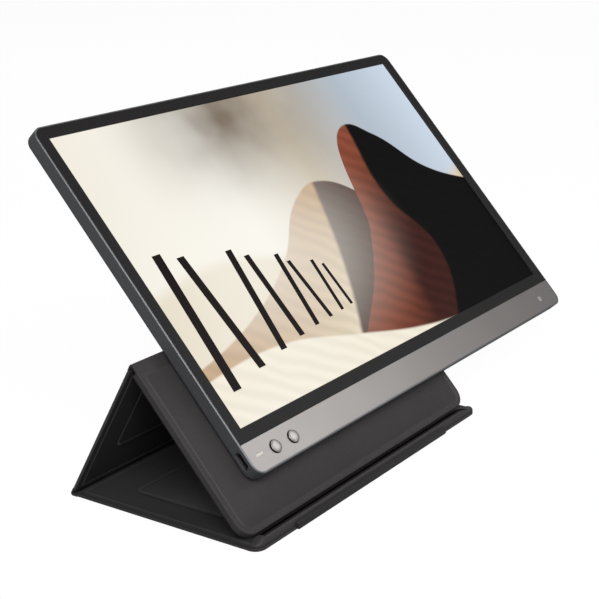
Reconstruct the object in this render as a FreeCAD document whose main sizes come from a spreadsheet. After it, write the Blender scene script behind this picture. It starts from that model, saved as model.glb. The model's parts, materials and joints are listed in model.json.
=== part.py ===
# Portable monitor that leans on its own folded cover, as one parametric document.
# Millimetres. +X runs to the viewer's right, +Y to the back and +Z up. The origin is the middle of
# the cover's base, on the table. Every piece is drawn flat in the frame of the panel that carries it
# (x along the folds, y along the panel, z through its thickness) and then placed on that panel.
import FreeCAD, Part
import math
import os
from types import SimpleNamespace

import Sketcher

SIZES = {
    # Housing of the monitor
    "monitor_depth": 9.0,
    "corner_radius": 6.5,
    "back_edge_radius": 2.4,
    "rim_width": 0.9,
    "rim_chamfer": 0.4,
    "wall_thickness": 1.8,
    "floor_thickness": 1.2,
    "front_recess": 0.15,
    "front_plate_thickness": 0.7,
    "fixed_gap": 0.1,
    "chin_rib_width": 1.4,
    "panel_rib_width": 1.2,
    "panel_rib_margin": 11.0,
    # Picture, the black border round it and the chin below
    "picture_width": 309.3,
    "picture_height": 174.0,
    "border_side": 8.05,
    "border_top": 7.2,
    "border_bottom": 7.4,
    "chin_height": 17.2,
    "window_chamfer": 0.35,
    # Display module, from the front to the back
    "cell_border": 1.6,
    "cell_border_bottom": 5.0,
    "cell_thickness": 1.1,
    "gasket_thickness": 0.3,
    "film_thickness": 0.4,
    "guide_thickness": 0.6,
    "reflector_thickness": 0.2,
    "chassis_thickness": 0.3,
    "led_bar_width": 1.6,
    "led_bar_height": 1.1,
    "panel_board_length": 130.0,
    "panel_board_width": 12.0,
    "panel_board_thickness": 0.8,
    "flex_thickness": 0.25,
    "flex_width": 22.0,
    "flex_pitch": 30.0,
    "flex_reach": 6.0,
    # Main board and what it carries
    "board_length": 68.0,
    "board_width": 37.0,
    "board_thickness": 1.0,
    "board_inset": 0.6,
    "board_rise": 1.1,
    "boss_radius": 2.3,
    "boss_inset": 4.0,
    "screw_radius": 0.85,
    "screw_length": 1.9,
    "screw_head_radius": 1.8,
    "screw_head_height": 0.8,
    "screw_gap": 0.05,
    "socket_width": 8.94,
    "socket_height": 3.26,
    "socket_length": 7.35,
    "socket_mouth_width": 8.34,
    "socket_mouth_height": 2.56,
    "socket_mouth_depth": 6.2,
    "socket_tongue_width": 6.69,
    "socket_tongue_height": 0.7,
    "socket_tongue_length": 4.45,
    "socket_corner_radius": 1.15,
    "socket_recess": 0.5,
    "socket_height_up": 10.85,
    "socket_slot_gap": 0.25,
    "shield_left": 41.0,
    "shield_bottom": 9.0,
    "shield_length": 18.0,
    "shield_width": 24.0,
    "shield_height": 1.5,
    "shield_wall": 0.2,
    "scaler_length": 9.0,
    "scaler_height": 0.9,
    "memory_left": 27.0,
    "memory_bottom": 20.0,
    "memory_length": 7.0,
    "memory_width": 5.0,
    "memory_height": 0.8,
    "inductor_left": 14.0,
    "inductor_bottom": 22.0,
    "inductor_length": 4.0,
    "inductor_height": 1.5,
    "connector_left": 61.0,
    "connector_bottom": 21.0,
    "connector_length": 4.0,
    "connector_width": 12.0,
    "cable_width": 10.0,
    "cable_thickness": 0.25,
    "cable_overlap": 8.0,
    "steel_length": 160.0,
    "steel_width": 28.0,
    "steel_thickness": 0.5,
    # Buttons and indicator in the chin
    "button_left": 21.2,
    "button_pitch": 14.4,
    "button_height_up": 8.9,
    "button_radius": 3.4,
    "button_gap": 0.3,
    "button_rise": 0.9,
    "button_dome": 0.3,
    "button_travel": 0.4,
    "flange_radius": 4.2,
    "flange_thickness": 0.6,
    "stem_radius": 1.1,
    "stem_length": 0.25,
    "switch_length": 4.5,
    "plunger_radius": 1.0,
    "plunger_height": 0.4,
    "lens_left": 6.5,
    "lens_height_up": 9.4,
    "lens_length": 5.0,
    "lens_width": 1.4,
    "lens_gap": 0.05,
    "lens_flange": 0.7,
    "lens_flange_thickness": 0.8,
    "pipe_length": 2.0,
    "led_length": 1.6,
    "led_height": 0.6,
    # Folding cover
    "cover_width": 206.0,
    "cover_shift": 20.8,
    "panel_thickness": 2.4,
    "support_thickness": 4.0,
    "skin_thickness": 0.7,
    "lining_thickness": 0.6,
    "base_span": 114.4,
    "rear_span": 90.5,
    "support_span": 102.1,
    "lip_reach": 5.1,
    "lip_height": 3.9,
    "lip_inset": 0.5,
    "cover_corner_radius": 6.0,
    "foot_corner_radius": 9.0,
    "skin_edge_radius": 0.5,
    "fold_strip_thickness": 0.9,
    "board_margin": 3.0,
    "emboss_margin": 16.0,
    "emboss_fold_margin": 24.0,
    "emboss_free_margin": 14.0,
    "emboss_height": 0.4,
    "emboss_corner_radius": 5.0,
    "foot_gap": 0.3,
    "monitor_gap": 0.2,
    "monitor_drop": 76.3,
    # Magnets and the strip that they hold
    "disc_radius": 6.0,
    "disc_thickness": 1.6,
    "disc_left": 52.0,
    "disc_pitch": 27.0,
    "disc_drop": 18.0,
    "bar_length": 24.0,
    "bar_width": 5.0,
    "bar_thickness": 1.6,
    "bar_left": 26.0,
    "bar_pitch": 43.0,
    "bar_margin": 3.0,
    "keeper_length": 180.0,
    "keeper_width": 8.0,
    "keeper_thickness": 0.5,
    # Cuts run past the face that they start from by this much
    "overrun": 1.0,
}
FLEX_COUNT = 4
DISC_COUNT = 6
BAR_COUNT = 4
PANEL_RIB_SHARES = (0.12, 0.35, 0.58, 0.76, 0.93)
FOLD_GAP_SHARE = 1.25
LIP_CORNER_SHARE = 0.8
LIP_EDGE_SHARE = 0.36
SAME_PLACE = 1e-4

Vector = FreeCAD.Vector
ALONG_X = Vector(1, 0, 0)
UP = Vector(0, 0, 1)
ORIGIN_POINT = (-1, 1)
X_AXIS, Y_AXIS = range(-1, -3, -1)
START, END, CENTRE = range(1, 4)


class Size:
    """A length that keeps its number together with the sheet formula that drives it."""

    def __init__(self, formula, number):
        self.formula = formula
        self.number = number

    def join(self, sign, other, number):
        formula = other.formula if isinstance(other, Size) else str(other)
        return Size(f"({self.formula} {sign} {formula})", number)

    def __add__(self, other):
        return self.join("+", other, self.number + float(other))

    def __sub__(self, other):
        return self.join("-", other, self.number - float(other))

    def __mul__(self, factor):
        return self.join("*", factor, self.number * float(factor))

    def __truediv__(self, divisor):
        return self.join("/", divisor, self.number / float(divisor))

    def __neg__(self):
        return self * -1

    def __float__(self):
        return float(self.number)


doc = FreeCAD.newDocument("PortableMonitor")
sheet = doc.addObject("Spreadsheet::Sheet", "Sizes")
for row, (alias, number) in enumerate(SIZES.items(), start=1):
    sheet.set(f"A{row}", alias)
    sheet.set(f"B{row}", str(number))
    sheet.setAlias(f"B{row}", alias)
doc.recompute()
S = SimpleNamespace(**{alias: Size(f"Sizes.{alias}", float(sheet.get(alias))) for alias in SIZES})
nodes = []


# Heights in the monitor, measured from its back face
front_face = S.monitor_depth - S.front_recess
ledge = front_face - S.front_plate_thickness
cell_front = ledge - S.gasket_thickness
cell_back = cell_front - S.cell_thickness
film_back = cell_back - S.film_thickness
guide_back = film_back - S.guide_thickness
reflector_back = guide_back - S.reflector_thickness
chassis_back = reflector_back - S.chassis_thickness
panel_board_back = chassis_back - S.panel_board_thickness
flex_back = panel_board_back - S.flex_thickness
board_back = S.floor_thickness + S.board_rise
board_front = board_back + S.board_thickness

# Places across the monitor, measured from its lower left corner
picture_left = S.border_side
picture_right = picture_left + S.picture_width
picture_bottom = S.chin_height + S.border_bottom
picture_top = picture_bottom + S.picture_height
monitor_width = picture_right + S.border_side
monitor_height = picture_top + S.border_top
cell_left = picture_left - S.cell_border
cell_right = picture_right + S.cell_border
cell_bottom = picture_bottom - S.cell_border_bottom
cell_top = picture_top + S.cell_border
board_left = S.wall_thickness + S.board_inset
board_bottom = S.wall_thickness + S.board_inset
button_lefts = (S.button_left, S.button_left + S.button_pitch)
lens_right = S.lens_left + S.lens_length
lens_middle = S.lens_left + S.lens_length / 2
panel_board_left = (monitor_width - S.panel_board_length) / 2
boss_top = board_bottom + S.board_width - S.boss_inset
boss_right = board_left + S.board_length - S.boss_inset
boss_places = (
    (board_left + S.boss_inset * 2, boss_top),
    (boss_right, boss_top),
    (boss_right, board_bottom + S.boss_inset),
)

# The plate lies over the support panel's magnets, and the ribs start above it
discs_length = S.disc_pitch * (DISC_COUNT - 1)
steel_left = S.disc_left - S.cover_shift - (S.steel_length - discs_length) / 2
steel_bottom = S.monitor_drop - S.support_thickness - S.disc_drop - S.steel_width / 2
steel_top = steel_bottom + S.steel_width

# Sizes of the cover's panels
fold_gap = S.panel_thickness * FOLD_GAP_SHARE
base_length = S.base_span + S.lip_reach - fold_gap
fold_radius = S.panel_thickness / 2

# The three spans close a triangle, which sets how far the support panel and the rear panel lean
base_side, rear_side, support_side = float(S.base_span), float(S.rear_span), float(S.support_span)
support_lean = math.acos(
    (base_side**2 + support_side**2 - rear_side**2) / (2 * base_side * support_side)
)
rear_lean = math.acos((base_side**2 + rear_side**2 - support_side**2) / (2 * base_side * rear_side))
foot_setback = (
    float(fold_radius)
    + float(S.foot_gap)
    + float(S.support_thickness - fold_radius) * math.cos(support_lean)
) / math.sin(support_lean)
support_length = S.support_span - Size(str(foot_setback), foot_setback)
foot_front = (
    float(S.lip_reach)
    + foot_setback * math.cos(support_lean)
    - float(fold_radius) * math.sin(support_lean)
)

# Fold axes, in the part's own frame
cover_left = -float(S.cover_width) / 2
rear_axis = Vector(cover_left, float(base_length) / 2 + float(fold_gap), float(fold_radius))
rear_up = Vector(0, -math.cos(rear_lean), math.sin(rear_lean))
rear_out = Vector(0, math.sin(rear_lean), math.cos(rear_lean))
support_down = Vector(0, -math.cos(support_lean), -math.sin(support_lean))
support_out = Vector(0, -math.sin(support_lean), math.cos(support_lean))
top_axis = rear_axis + rear_up * rear_side


def turned_about_x(base, degrees):
    """Placement that moves a panel's own frame to its place in the part."""
    return FreeCAD.Placement(base, FreeCAD.Rotation(ALONG_X, degrees))


BASE_FRAME = turned_about_x(Vector(cover_left, -float(base_length) / 2, 0), 0)
REAR_FRAME = turned_about_x(rear_axis + rear_out * float(fold_radius), 180 - math.degrees(rear_lean))
SUPPORT_FRAME = turned_about_x(
    top_axis + support_out * float(fold_radius), 180 + math.degrees(support_lean)
)
MONITOR_FRAME = turned_about_x(
    top_axis
    + ALONG_X * float(S.cover_shift)
    + support_out * float(fold_radius + S.monitor_gap)
    + support_down * float(S.monitor_drop),
    math.degrees(support_lean),
)


# Tools for drawing
def bind(feature, name, size):
    """Tie a property of a feature to the sheet."""
    feature.setExpression(name, size.formula)


def new_body(label, frame):
    """Start a sub-part and put it in its place."""
    body = doc.addObject("PartDesign::Body", label)
    body.Label = label
    body.Placement = frame
    nodes.append(body)
    return body


def new_sketch(body, height=None, role="XY_Plane"):
    """Sketch on one of the body's own planes, moved out along the plane's normal."""
    sketch = body.newObject("Sketcher::SketchObject", f"{body.Name}_sketch")
    plane = next(item for item in body.Origin.OriginFeatures if item.Role == role)
    sketch.AttachmentSupport = [(plane, "")]
    sketch.MapMode = "FlatFace"
    if height is not None:
        bind(sketch, "AttachmentOffset.Base.z", height)
    return sketch


def dimension(sketch, size, *parts):
    """Add one dimension to a sketch and tie it to the sheet."""
    index = sketch.addConstraint(Sketcher.Constraint(*parts, float(size)))
    sketch.setExpression(f"Constraints[{index}]", size.formula)


def pin(sketch, geometry, point, x=None, y=None):
    """Fix a point of the sketch. A coordinate of 0 lies on the axis."""
    for place, kind, axis in ((x, "DistanceX", Y_AXIS), (y, "DistanceY", X_AXIS)):
        if isinstance(place, Size):
            dimension(sketch, place, kind, *ORIGIN_POINT, geometry, point)
        elif place is not None:
            sketch.addConstraint(Sketcher.Constraint("PointOnObject", geometry, point, axis))


def rectangle(sketch, left, bottom, right, top, radii=(0, 0, 0, 0)):
    """Rectangle with a radius, or 0, at each corner, from lower left counter-clockwise."""
    x0, y0, x1, y1 = (float(value) for value in (left, bottom, right, top))
    r = [float(radius) for radius in radii]
    sides = [
        (Vector(x0 + r[0], y0), Vector(x1 - r[1], y0)),
        (Vector(x1, y0 + r[1]), Vector(x1, y1 - r[2])),
        (Vector(x1 - r[2], y1), Vector(x0 + r[3], y1)),
        (Vector(x0, y1 - r[3]), Vector(x0, y0 + r[0])),
    ]
    lines = [sketch.addGeometry(Part.LineSegment(*side)) for side in sides]
    lower_centres = [(x0 + r[0], y0 + r[0]), (x1 - r[1], y0 + r[1])]
    centres = lower_centres + [(x1 - r[2], y1 - r[2]), (x0 + r[3], y1 - r[3])]
    for corner, radius in enumerate(radii):
        before, after = lines[corner - 1], lines[corner]
        if not isinstance(radius, Size):
            sketch.addConstraint(Sketcher.Constraint("Coincident", before, END, after, START))
            continue
        first_angle = math.pi * (1 + corner / 2)
        circle = Part.Circle(Vector(*centres[corner]), UP, float(radius))
        arc = sketch.addGeometry(Part.ArcOfCircle(circle, first_angle, first_angle + math.pi / 2))
        sketch.addConstraint(Sketcher.Constraint("Tangent", before, END, arc, START))
        sketch.addConstraint(Sketcher.Constraint("Tangent", arc, END, after, START))
        dimension(sketch, radius, "Radius", arc)
    for line, kind in zip(lines, ("Horizontal", "Vertical", "Horizontal", "Vertical")):
        sketch.addConstraint(Sketcher.Constraint(kind, line))
    pin(sketch, lines[0], START, y=bottom)
    pin(sketch, lines[1], START, x=right)
    pin(sketch, lines[2], START, y=top)
    pin(sketch, lines[3], START, x=left)


def circle(sketch, x, y, radius):
    """Circle fixed by its centre and radius."""
    shape = Part.Circle(Vector(float(x), float(y)), UP, float(radius))
    geometry = sketch.addGeometry(shape)
    pin(sketch, geometry, CENTRE, x, y)
    dimension(sketch, radius, "Radius", geometry)


def pad(body, sketch, length):
    """Extrude a sketch along its normal."""
    feature = body.newObject("PartDesign::Pad", f"{body.Name}_pad")
    feature.Profile = sketch
    bind(feature, "Length", length)
    return feature


def pocket(body, sketch, length):
    """Cut a sketch into the body, against the sketch's normal."""
    feature = body.newObject("PartDesign::Pocket", f"{body.Name}_pocket")
    feature.Profile = sketch
    bind(feature, "Length", length)
    return feature


def dress(body, kind, size_name, size, chosen):
    """Fillet or chamfer those edges of the body for which chosen(edge) holds."""
    doc.recompute()
    base = body.Tip
    names = [f"Edge{index}" for index, edge in enumerate(base.Shape.Edges, start=1) if chosen(edge)]
    feature = body.newObject(f"PartDesign::{kind}", f"{body.Name}_{kind.lower()}")
    feature.Base = (base, names)
    bind(feature, size_name, size)


def lies_at(edge, height):
    """True for an edge that lies flat at a height of its body's own frame."""
    box = edge.BoundBox
    return abs(box.ZMin - float(height)) < SAME_PLACE and box.ZLength < SAME_PLACE


def is_between(low, first, last, high):
    """True for a stretch that lies between two sizes."""
    return float(low) - SAME_PLACE < first and last < float(high) + SAME_PLACE


def plate(label, frame, outline, bottom, thickness, radii=(0, 0, 0, 0)):
    """Flat piece: outline is left, bottom, right, top."""
    body = new_body(label, frame)
    sketch = new_sketch(body, bottom)
    rectangle(sketch, *outline, radii)
    pad(body, sketch, thickness)
    return body


def box(x, y, z, length, width, height):
    """Block that goes into a group of like pieces."""
    block = doc.addObject("Part::Box", "block")
    for name, size in (("Length", length), ("Width", width), ("Height", height)):
        bind(block, name, size)
    for name, size in (("x", x), ("y", y), ("z", z)):
        bind(block, f"Placement.Base.{name}", size)
    return block


def cylinder(x, y, z, radius, height):
    """Upright cylinder that goes into a group of like pieces."""
    post = doc.addObject("Part::Cylinder", "post")
    bind(post, "Radius", radius)
    bind(post, "Height", height)
    for name, size in (("x", x), ("y", y), ("z", z)):
        bind(post, f"Placement.Base.{name}", size)
    return post


def fuse(*pieces):
    """One solid from pieces that meet."""
    joined = doc.addObject("Part::MultiFuse", "joined")
    joined.Shapes = list(pieces)
    return joined


def group(label, frame, pieces):
    """Like pieces that share one node as separate solids."""
    compound = doc.addObject("Part::Compound", label)
    compound.Label = label
    compound.Links = list(pieces)
    compound.Placement = frame
    nodes.append(compound)
    return compound


# Housing of the monitor
def rear_cover():
    """Moulded tray: rounded back edge, stepped rim, bosses, ribs and the slot for the socket."""
    body = new_body("rear_cover", MONITOR_FRAME)
    radii = (S.corner_radius,) * 4
    outer = new_sketch(body)
    rectangle(outer, 0, 0, monitor_width, monitor_height, radii)
    pad(body, outer, S.monitor_depth)
    dress(body, "Fillet", "Radius", S.back_edge_radius, lambda edge: lies_at(edge, 0))
    dress(body, "Chamfer", "Size", S.rim_chamfer, lambda edge: lies_at(edge, S.monitor_depth))
    for inset, bottom in ((S.rim_width, ledge), (S.wall_thickness, S.floor_thickness)):
        sketch = new_sketch(body, S.monitor_depth + S.overrun)
        inner = (S.corner_radius - inset,) * 4
        rectangle(sketch, inset, inset, monitor_width - inset, monitor_height - inset, inner)
        pocket(body, sketch, S.monitor_depth + S.overrun - bottom)
    rib_bottom = steel_top + S.panel_rib_margin
    rib_top = cell_top - S.panel_rib_margin
    ribs = new_sketch(body, S.floor_thickness)
    for share in PANEL_RIB_SHARES:
        left = monitor_width * share
        rectangle(ribs, left, rib_bottom, left + S.panel_rib_width, rib_top)
    pad(body, ribs, chassis_back - S.floor_thickness)
    chin_rib = new_sketch(body, S.floor_thickness)
    rib_left = board_left + S.board_length + S.board_inset
    rib_right = monitor_width - S.wall_thickness
    rib_middle = S.chin_height - S.chin_rib_width / 2
    rectangle(chin_rib, rib_left, rib_middle, rib_right, rib_middle + S.chin_rib_width)
    pad(body, chin_rib, ledge - S.floor_thickness)
    bosses = new_sketch(body, S.floor_thickness)
    for x, y in boss_places:
        circle(bosses, x, y, S.boss_radius)
        circle(bosses, x, y, S.screw_radius + S.screw_gap)
    pad(body, bosses, S.board_rise)
    slot = new_sketch(body, S.socket_recess + S.wall_thickness, "YZ_Plane")
    half_width = S.socket_width / 2 + S.socket_slot_gap
    middle = board_front + S.socket_height / 2
    half_height = S.socket_height / 2 + S.socket_slot_gap
    rectangle(
        slot,
        S.socket_height_up - half_width,
        middle - half_height,
        S.socket_height_up + half_width,
        middle + half_height,
        (S.socket_corner_radius,) * 4,
    )
    pocket(body, slot, S.socket_recess + S.wall_thickness + S.overrun)


def front_bezel():
    """Black border round the picture, with a bevelled window."""
    inset = S.rim_width + S.fixed_gap
    corner = S.corner_radius - inset
    outline = (inset, S.chin_height + S.fixed_gap, monitor_width - inset, monitor_height - inset)
    radii = (0, 0, corner, corner)
    body = plate("front_bezel", MONITOR_FRAME, outline, ledge, S.front_plate_thickness, radii)
    window = new_sketch(body, front_face + S.overrun)
    rectangle(window, picture_left, picture_bottom, picture_right, picture_top)
    pocket(body, window, S.front_plate_thickness + S.overrun * 2)

    def is_window_edge(edge):
        span = edge.BoundBox
        across = is_between(picture_left, span.XMin, span.XMax, picture_right)
        upward = is_between(picture_bottom, span.YMin, span.YMax, picture_top)
        return across and upward and lies_at(edge, front_face)

    dress(body, "Chamfer", "Size", S.window_chamfer, is_window_edge)


def chin_panel():
    """Silver strip under the picture, with holes for the buttons and the indicator."""
    inset = S.rim_width + S.fixed_gap
    corner = S.corner_radius - inset
    outline = (inset, inset, monitor_width - inset, S.chin_height)
    radii = (corner, corner, 0, 0)
    body = plate("chin_panel", MONITOR_FRAME, outline, ledge, S.front_plate_thickness, radii)
    holes = new_sketch(body, front_face + S.overrun)
    for left in button_lefts:
        circle(holes, left, S.button_height_up, S.button_radius + S.button_gap)
    half = S.lens_width / 2 + S.lens_gap
    rectangle(
        holes,
        S.lens_left - S.lens_gap,
        S.lens_height_up - half,
        lens_right + S.lens_gap,
        S.lens_height_up + half,
    )
    pocket(body, holes, S.front_plate_thickness + S.overrun * 2)


# Display module
def display_module():
    """Glass cell, gasket, films, light guide, reflector, light bar and the chassis round them."""
    outline = (cell_left, cell_bottom, cell_right, cell_top)
    plate("display_cell", MONITOR_FRAME, outline, cell_back, S.cell_thickness)
    gasket = plate("panel_gasket", MONITOR_FRAME, outline, cell_front, S.gasket_thickness)
    opening = new_sketch(gasket, ledge + S.overrun)
    rectangle(opening, picture_left, picture_bottom, picture_right, picture_top)
    pocket(gasket, opening, S.gasket_thickness + S.overrun * 2)

    chassis = plate("panel_chassis", MONITOR_FRAME, outline, chassis_back, cell_back - chassis_back)
    wall = S.chassis_thickness
    tray = new_sketch(chassis, cell_back + S.overrun)
    inner = (cell_left + wall, cell_bottom + wall, cell_right - wall, cell_top - wall)
    rectangle(tray, *inner)
    pocket(chassis, tray, cell_back + S.overrun - reflector_back)

    gap = S.fixed_gap
    left, bottom, right, top = inner[0] + gap, inner[1] + gap, inner[2] - gap, inner[3] - gap
    bar_top = bottom + S.led_bar_width
    plate("led_bar", MONITOR_FRAME, (left, bottom, right, bar_top), reflector_back, S.led_bar_height)
    sheet_outline = (left, bar_top + gap, right, top)
    plate("reflector_sheet", MONITOR_FRAME, sheet_outline, reflector_back, S.reflector_thickness)
    plate("light_guide", MONITOR_FRAME, sheet_outline, guide_back, S.guide_thickness)
    plate("optical_films", MONITOR_FRAME, sheet_outline, film_back, S.film_thickness)


def panel_electronics():
    """Driver board on the back of the chassis, and the flex tapes that wrap up to the cell."""
    bottom = cell_bottom + S.fixed_gap
    outline = (
        panel_board_left,
        bottom,
        panel_board_left + S.panel_board_length,
        bottom + S.panel_board_width,
    )
    plate("panel_board", MONITOR_FRAME, outline, panel_board_back, S.panel_board_thickness)
    spare = S.panel_board_length - S.flex_pitch * (FLEX_COUNT - 1) - S.flex_width
    first = panel_board_left + spare / 2
    tapes = []
    for index in range(FLEX_COUNT):
        left = first + S.flex_pitch * index
        outer = cell_bottom - S.fixed_gap - S.flex_thickness
        upright = box(left, outer, flex_back, S.flex_width, S.flex_thickness, cell_front - flex_back)
        tail = box(left, outer, flex_back, S.flex_width, S.flex_reach, S.flex_thickness)
        tapes.append(fuse(upright, tail))
    group("panel_flex", MONITOR_FRAME, tapes)


# Main board
def main_board():
    """Circuit board on the cover's bosses, with a hole over each boss."""
    outline = (board_left, board_bottom, board_left + S.board_length, board_bottom + S.board_width)
    radii = (S.corner_radius - board_left, 0, 0, 0)
    body = plate("main_board", MONITOR_FRAME, outline, board_back, S.board_thickness, radii)
    holes = new_sketch(body, board_front + S.overrun)
    for x, y in boss_places:
        circle(holes, x, y, S.screw_radius + S.screw_gap)
    pocket(body, holes, S.board_thickness + S.overrun * 2)


def board_screws():
    """Screws that hold the main board on its bosses."""
    screws = []
    for x, y in boss_places:
        head = cylinder(x, y, board_front, S.screw_head_radius, S.screw_head_height)
        shank = cylinder(x, y, board_front - S.screw_length, S.screw_radius, S.screw_length)
        screws.append(fuse(head, shank))
    group("board_screws", MONITOR_FRAME, screws)


def usb_c_socket():
    """Socket shell with its mouth in the left wall and the contact tongue inside."""
    body = new_body("usb_c_socket", MONITOR_FRAME)
    middle = board_front + S.socket_height / 2

    def centred(sketch, width, height, radii=(0, 0, 0, 0)):
        rectangle(
            sketch,
            S.socket_height_up - width / 2,
            middle - height / 2,
            S.socket_height_up + width / 2,
            middle + height / 2,
            radii,
        )

    shell = new_sketch(body, S.socket_recess, "YZ_Plane")
    centred(shell, S.socket_width, S.socket_height, (S.socket_corner_radius,) * 4)
    pad(body, shell, S.socket_length)
    mouth = new_sketch(body, S.socket_recess + S.socket_mouth_depth, "YZ_Plane")
    centred(mouth, S.socket_mouth_width, S.socket_mouth_height, (S.socket_corner_radius,) * 4)
    pocket(body, mouth, S.socket_mouth_depth + S.overrun)
    tongue_end = S.socket_recess + S.socket_mouth_depth - S.socket_tongue_length
    tongue = new_sketch(body, tongue_end, "YZ_Plane")
    centred(tongue, S.socket_tongue_width, S.socket_tongue_height)
    pad(body, tongue, S.socket_tongue_length)


def board_parts():
    """Shield, chips, connector, cable, switches and the indicator's LED."""
    shield = plate(
        "board_shield",
        MONITOR_FRAME,
        (S.shield_left, S.shield_bottom, S.shield_left + S.shield_length, S.shield_bottom + S.shield_width),
        board_front,
        S.shield_height,
    )
    hollow = new_sketch(shield, board_front + S.shield_height - S.shield_wall)
    rectangle(
        hollow,
        S.shield_left + S.shield_wall,
        S.shield_bottom + S.shield_wall,
        S.shield_left + S.shield_length - S.shield_wall,
        S.shield_bottom + S.shield_width - S.shield_wall,
    )
    pocket(shield, hollow, S.shield_height + S.overrun)
    scaler_left = S.shield_left + (S.shield_length - S.scaler_length) / 2
    scaler_bottom = S.shield_bottom + (S.shield_width - S.scaler_length) / 2
    chips = (
        (scaler_left, scaler_bottom, S.scaler_length, S.scaler_length, S.scaler_height),
        (S.memory_left, S.memory_bottom, S.memory_length, S.memory_width, S.memory_height),
        (S.inductor_left, S.inductor_bottom, S.inductor_length, S.inductor_length, S.inductor_height),
    )
    blocks = [box(x, y, board_front, length, width, height) for x, y, length, width, height in chips]
    group("board_chips", MONITOR_FRAME, blocks)
    connector_right = S.connector_left + S.connector_length
    connector_top = S.connector_bottom + S.connector_width
    plate(
        "cable_connector",
        MONITOR_FRAME,
        (S.connector_left, S.connector_bottom, connector_right, connector_top),
        board_front,
        panel_board_back - S.cable_thickness - board_front,
    )
    cable_bottom = S.connector_bottom + (S.connector_width - S.cable_width) / 2
    plate(
        "display_cable",
        MONITOR_FRAME,
        (
            S.connector_left,
            cable_bottom,
            panel_board_left + S.cable_overlap,
            cable_bottom + S.cable_width,
        ),
        panel_board_back - S.cable_thickness,
        S.cable_thickness,
    )
    switches = []
    stem_end = ledge - S.fixed_gap - S.flange_thickness - S.stem_length
    plunger_top = stem_end - S.button_travel - S.fixed_gap
    for left in button_lefts:
        corner = left - S.switch_length / 2
        corner_up = S.button_height_up - S.switch_length / 2
        height = plunger_top - S.plunger_height - board_front
        case = box(corner, corner_up, board_front, S.switch_length, S.switch_length, height)
        case_top = board_front + height
        plunger = cylinder(left, S.button_height_up, case_top, S.plunger_radius, S.plunger_height)
        switches.append(fuse(case, plunger))
    group("tact_switches", MONITOR_FRAME, switches)
    led_outline = (
        lens_middle - S.led_length / 2,
        S.lens_height_up - S.lens_width / 2,
        lens_middle + S.led_length / 2,
        S.lens_height_up + S.lens_width / 2,
    )
    plate("indicator_led", MONITOR_FRAME, led_outline, board_front, S.led_height)


def indicator_lens():
    """Light pipe: a window in the chin, a flange behind it and a leg down to the LED."""
    half = S.lens_width / 2
    low, high = S.lens_height_up - half, S.lens_height_up + half
    flange_back = ledge - S.lens_flange_thickness
    spread = S.lens_flange
    flange = (S.lens_left - spread, low - spread, lens_right + spread, high + spread)
    body = plate("indicator_lens", MONITOR_FRAME, flange, flange_back, S.lens_flange_thickness)
    window = new_sketch(body, ledge)
    rectangle(window, S.lens_left, low, lens_right, high)
    pad(body, window, S.front_plate_thickness)
    leg_foot = board_front + S.led_height + S.fixed_gap
    leg = new_sketch(body, leg_foot)
    rectangle(leg, lens_middle - S.pipe_length / 2, low, lens_middle + S.pipe_length / 2, high)
    pad(body, leg, flange_back - leg_foot)


def steel_plate():
    """Plate inside the back that the cover's magnets hold."""
    outline = (steel_left, steel_bottom, steel_left + S.steel_length, steel_top)
    plate("steel_plate", MONITOR_FRAME, outline, S.floor_thickness, S.steel_thickness)


def push_button(label, left):
    """Domed cap turned about its own axis, with a flange behind the chin and a short stem."""
    centre = MONITOR_FRAME.multVec(Vector(float(left), float(S.button_height_up), 0))
    body = new_body(label, FreeCAD.Placement(centre, MONITOR_FRAME.Rotation))
    sketch = new_sketch(body, role="XZ_Plane")
    flange_front = ledge - S.fixed_gap
    flange_back = flange_front - S.flange_thickness
    stem_end = flange_back - S.stem_length
    rim_height = front_face + S.button_rise
    corners = [
        (0, stem_end),
        (S.stem_radius, stem_end),
        (S.stem_radius, flange_back),
        (S.flange_radius, flange_back),
        (S.flange_radius, flange_front),
        (S.button_radius, flange_front),
        (S.button_radius, rim_height),
    ]
    top = (0, rim_height + S.button_dome)
    places = [Vector(float(x), float(y)) for x, y in corners]
    lines = [sketch.addGeometry(Part.LineSegment(*ends)) for ends in zip(places, places[1:])]
    for index, (x, y) in enumerate(corners[:-1]):
        pin(sketch, lines[index], START, x, y)
    pin(sketch, lines[-1], END, *corners[-1])
    for before, after in zip(lines, lines[1:]):
        sketch.addConstraint(Sketcher.Constraint("Coincident", before, END, after, START))
    half_chord, rise = float(S.button_radius), float(S.button_dome)
    dome_radius = (half_chord**2 + rise**2) / (2 * rise)
    dome_centre = Vector(0, float(top[1]) - dome_radius)
    dome_end = math.asin(half_chord / dome_radius)
    dome_circle = Part.Circle(dome_centre, UP, dome_radius)
    dome = sketch.addGeometry(Part.ArcOfCircle(dome_circle, math.pi / 2 - dome_end, math.pi / 2))
    axis = sketch.addGeometry(Part.LineSegment(Vector(0, float(top[1])), places[0]))
    sketch.addConstraint(Sketcher.Constraint("Coincident", lines[-1], END, dome, START))
    sketch.addConstraint(Sketcher.Constraint("Coincident", dome, END, axis, START))
    sketch.addConstraint(Sketcher.Constraint("Coincident", axis, END, lines[0], START))
    sketch.addConstraint(Sketcher.Constraint("PointOnObject", dome, CENTRE, Y_AXIS))
    pin(sketch, axis, START, *top)
    turned = body.newObject("PartDesign::Revolution", f"{label}_turned")
    turned.Profile = sketch
    turned.ReferenceAxis = (sketch, ["V_Axis"])
    turned.Angle = 360


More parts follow.
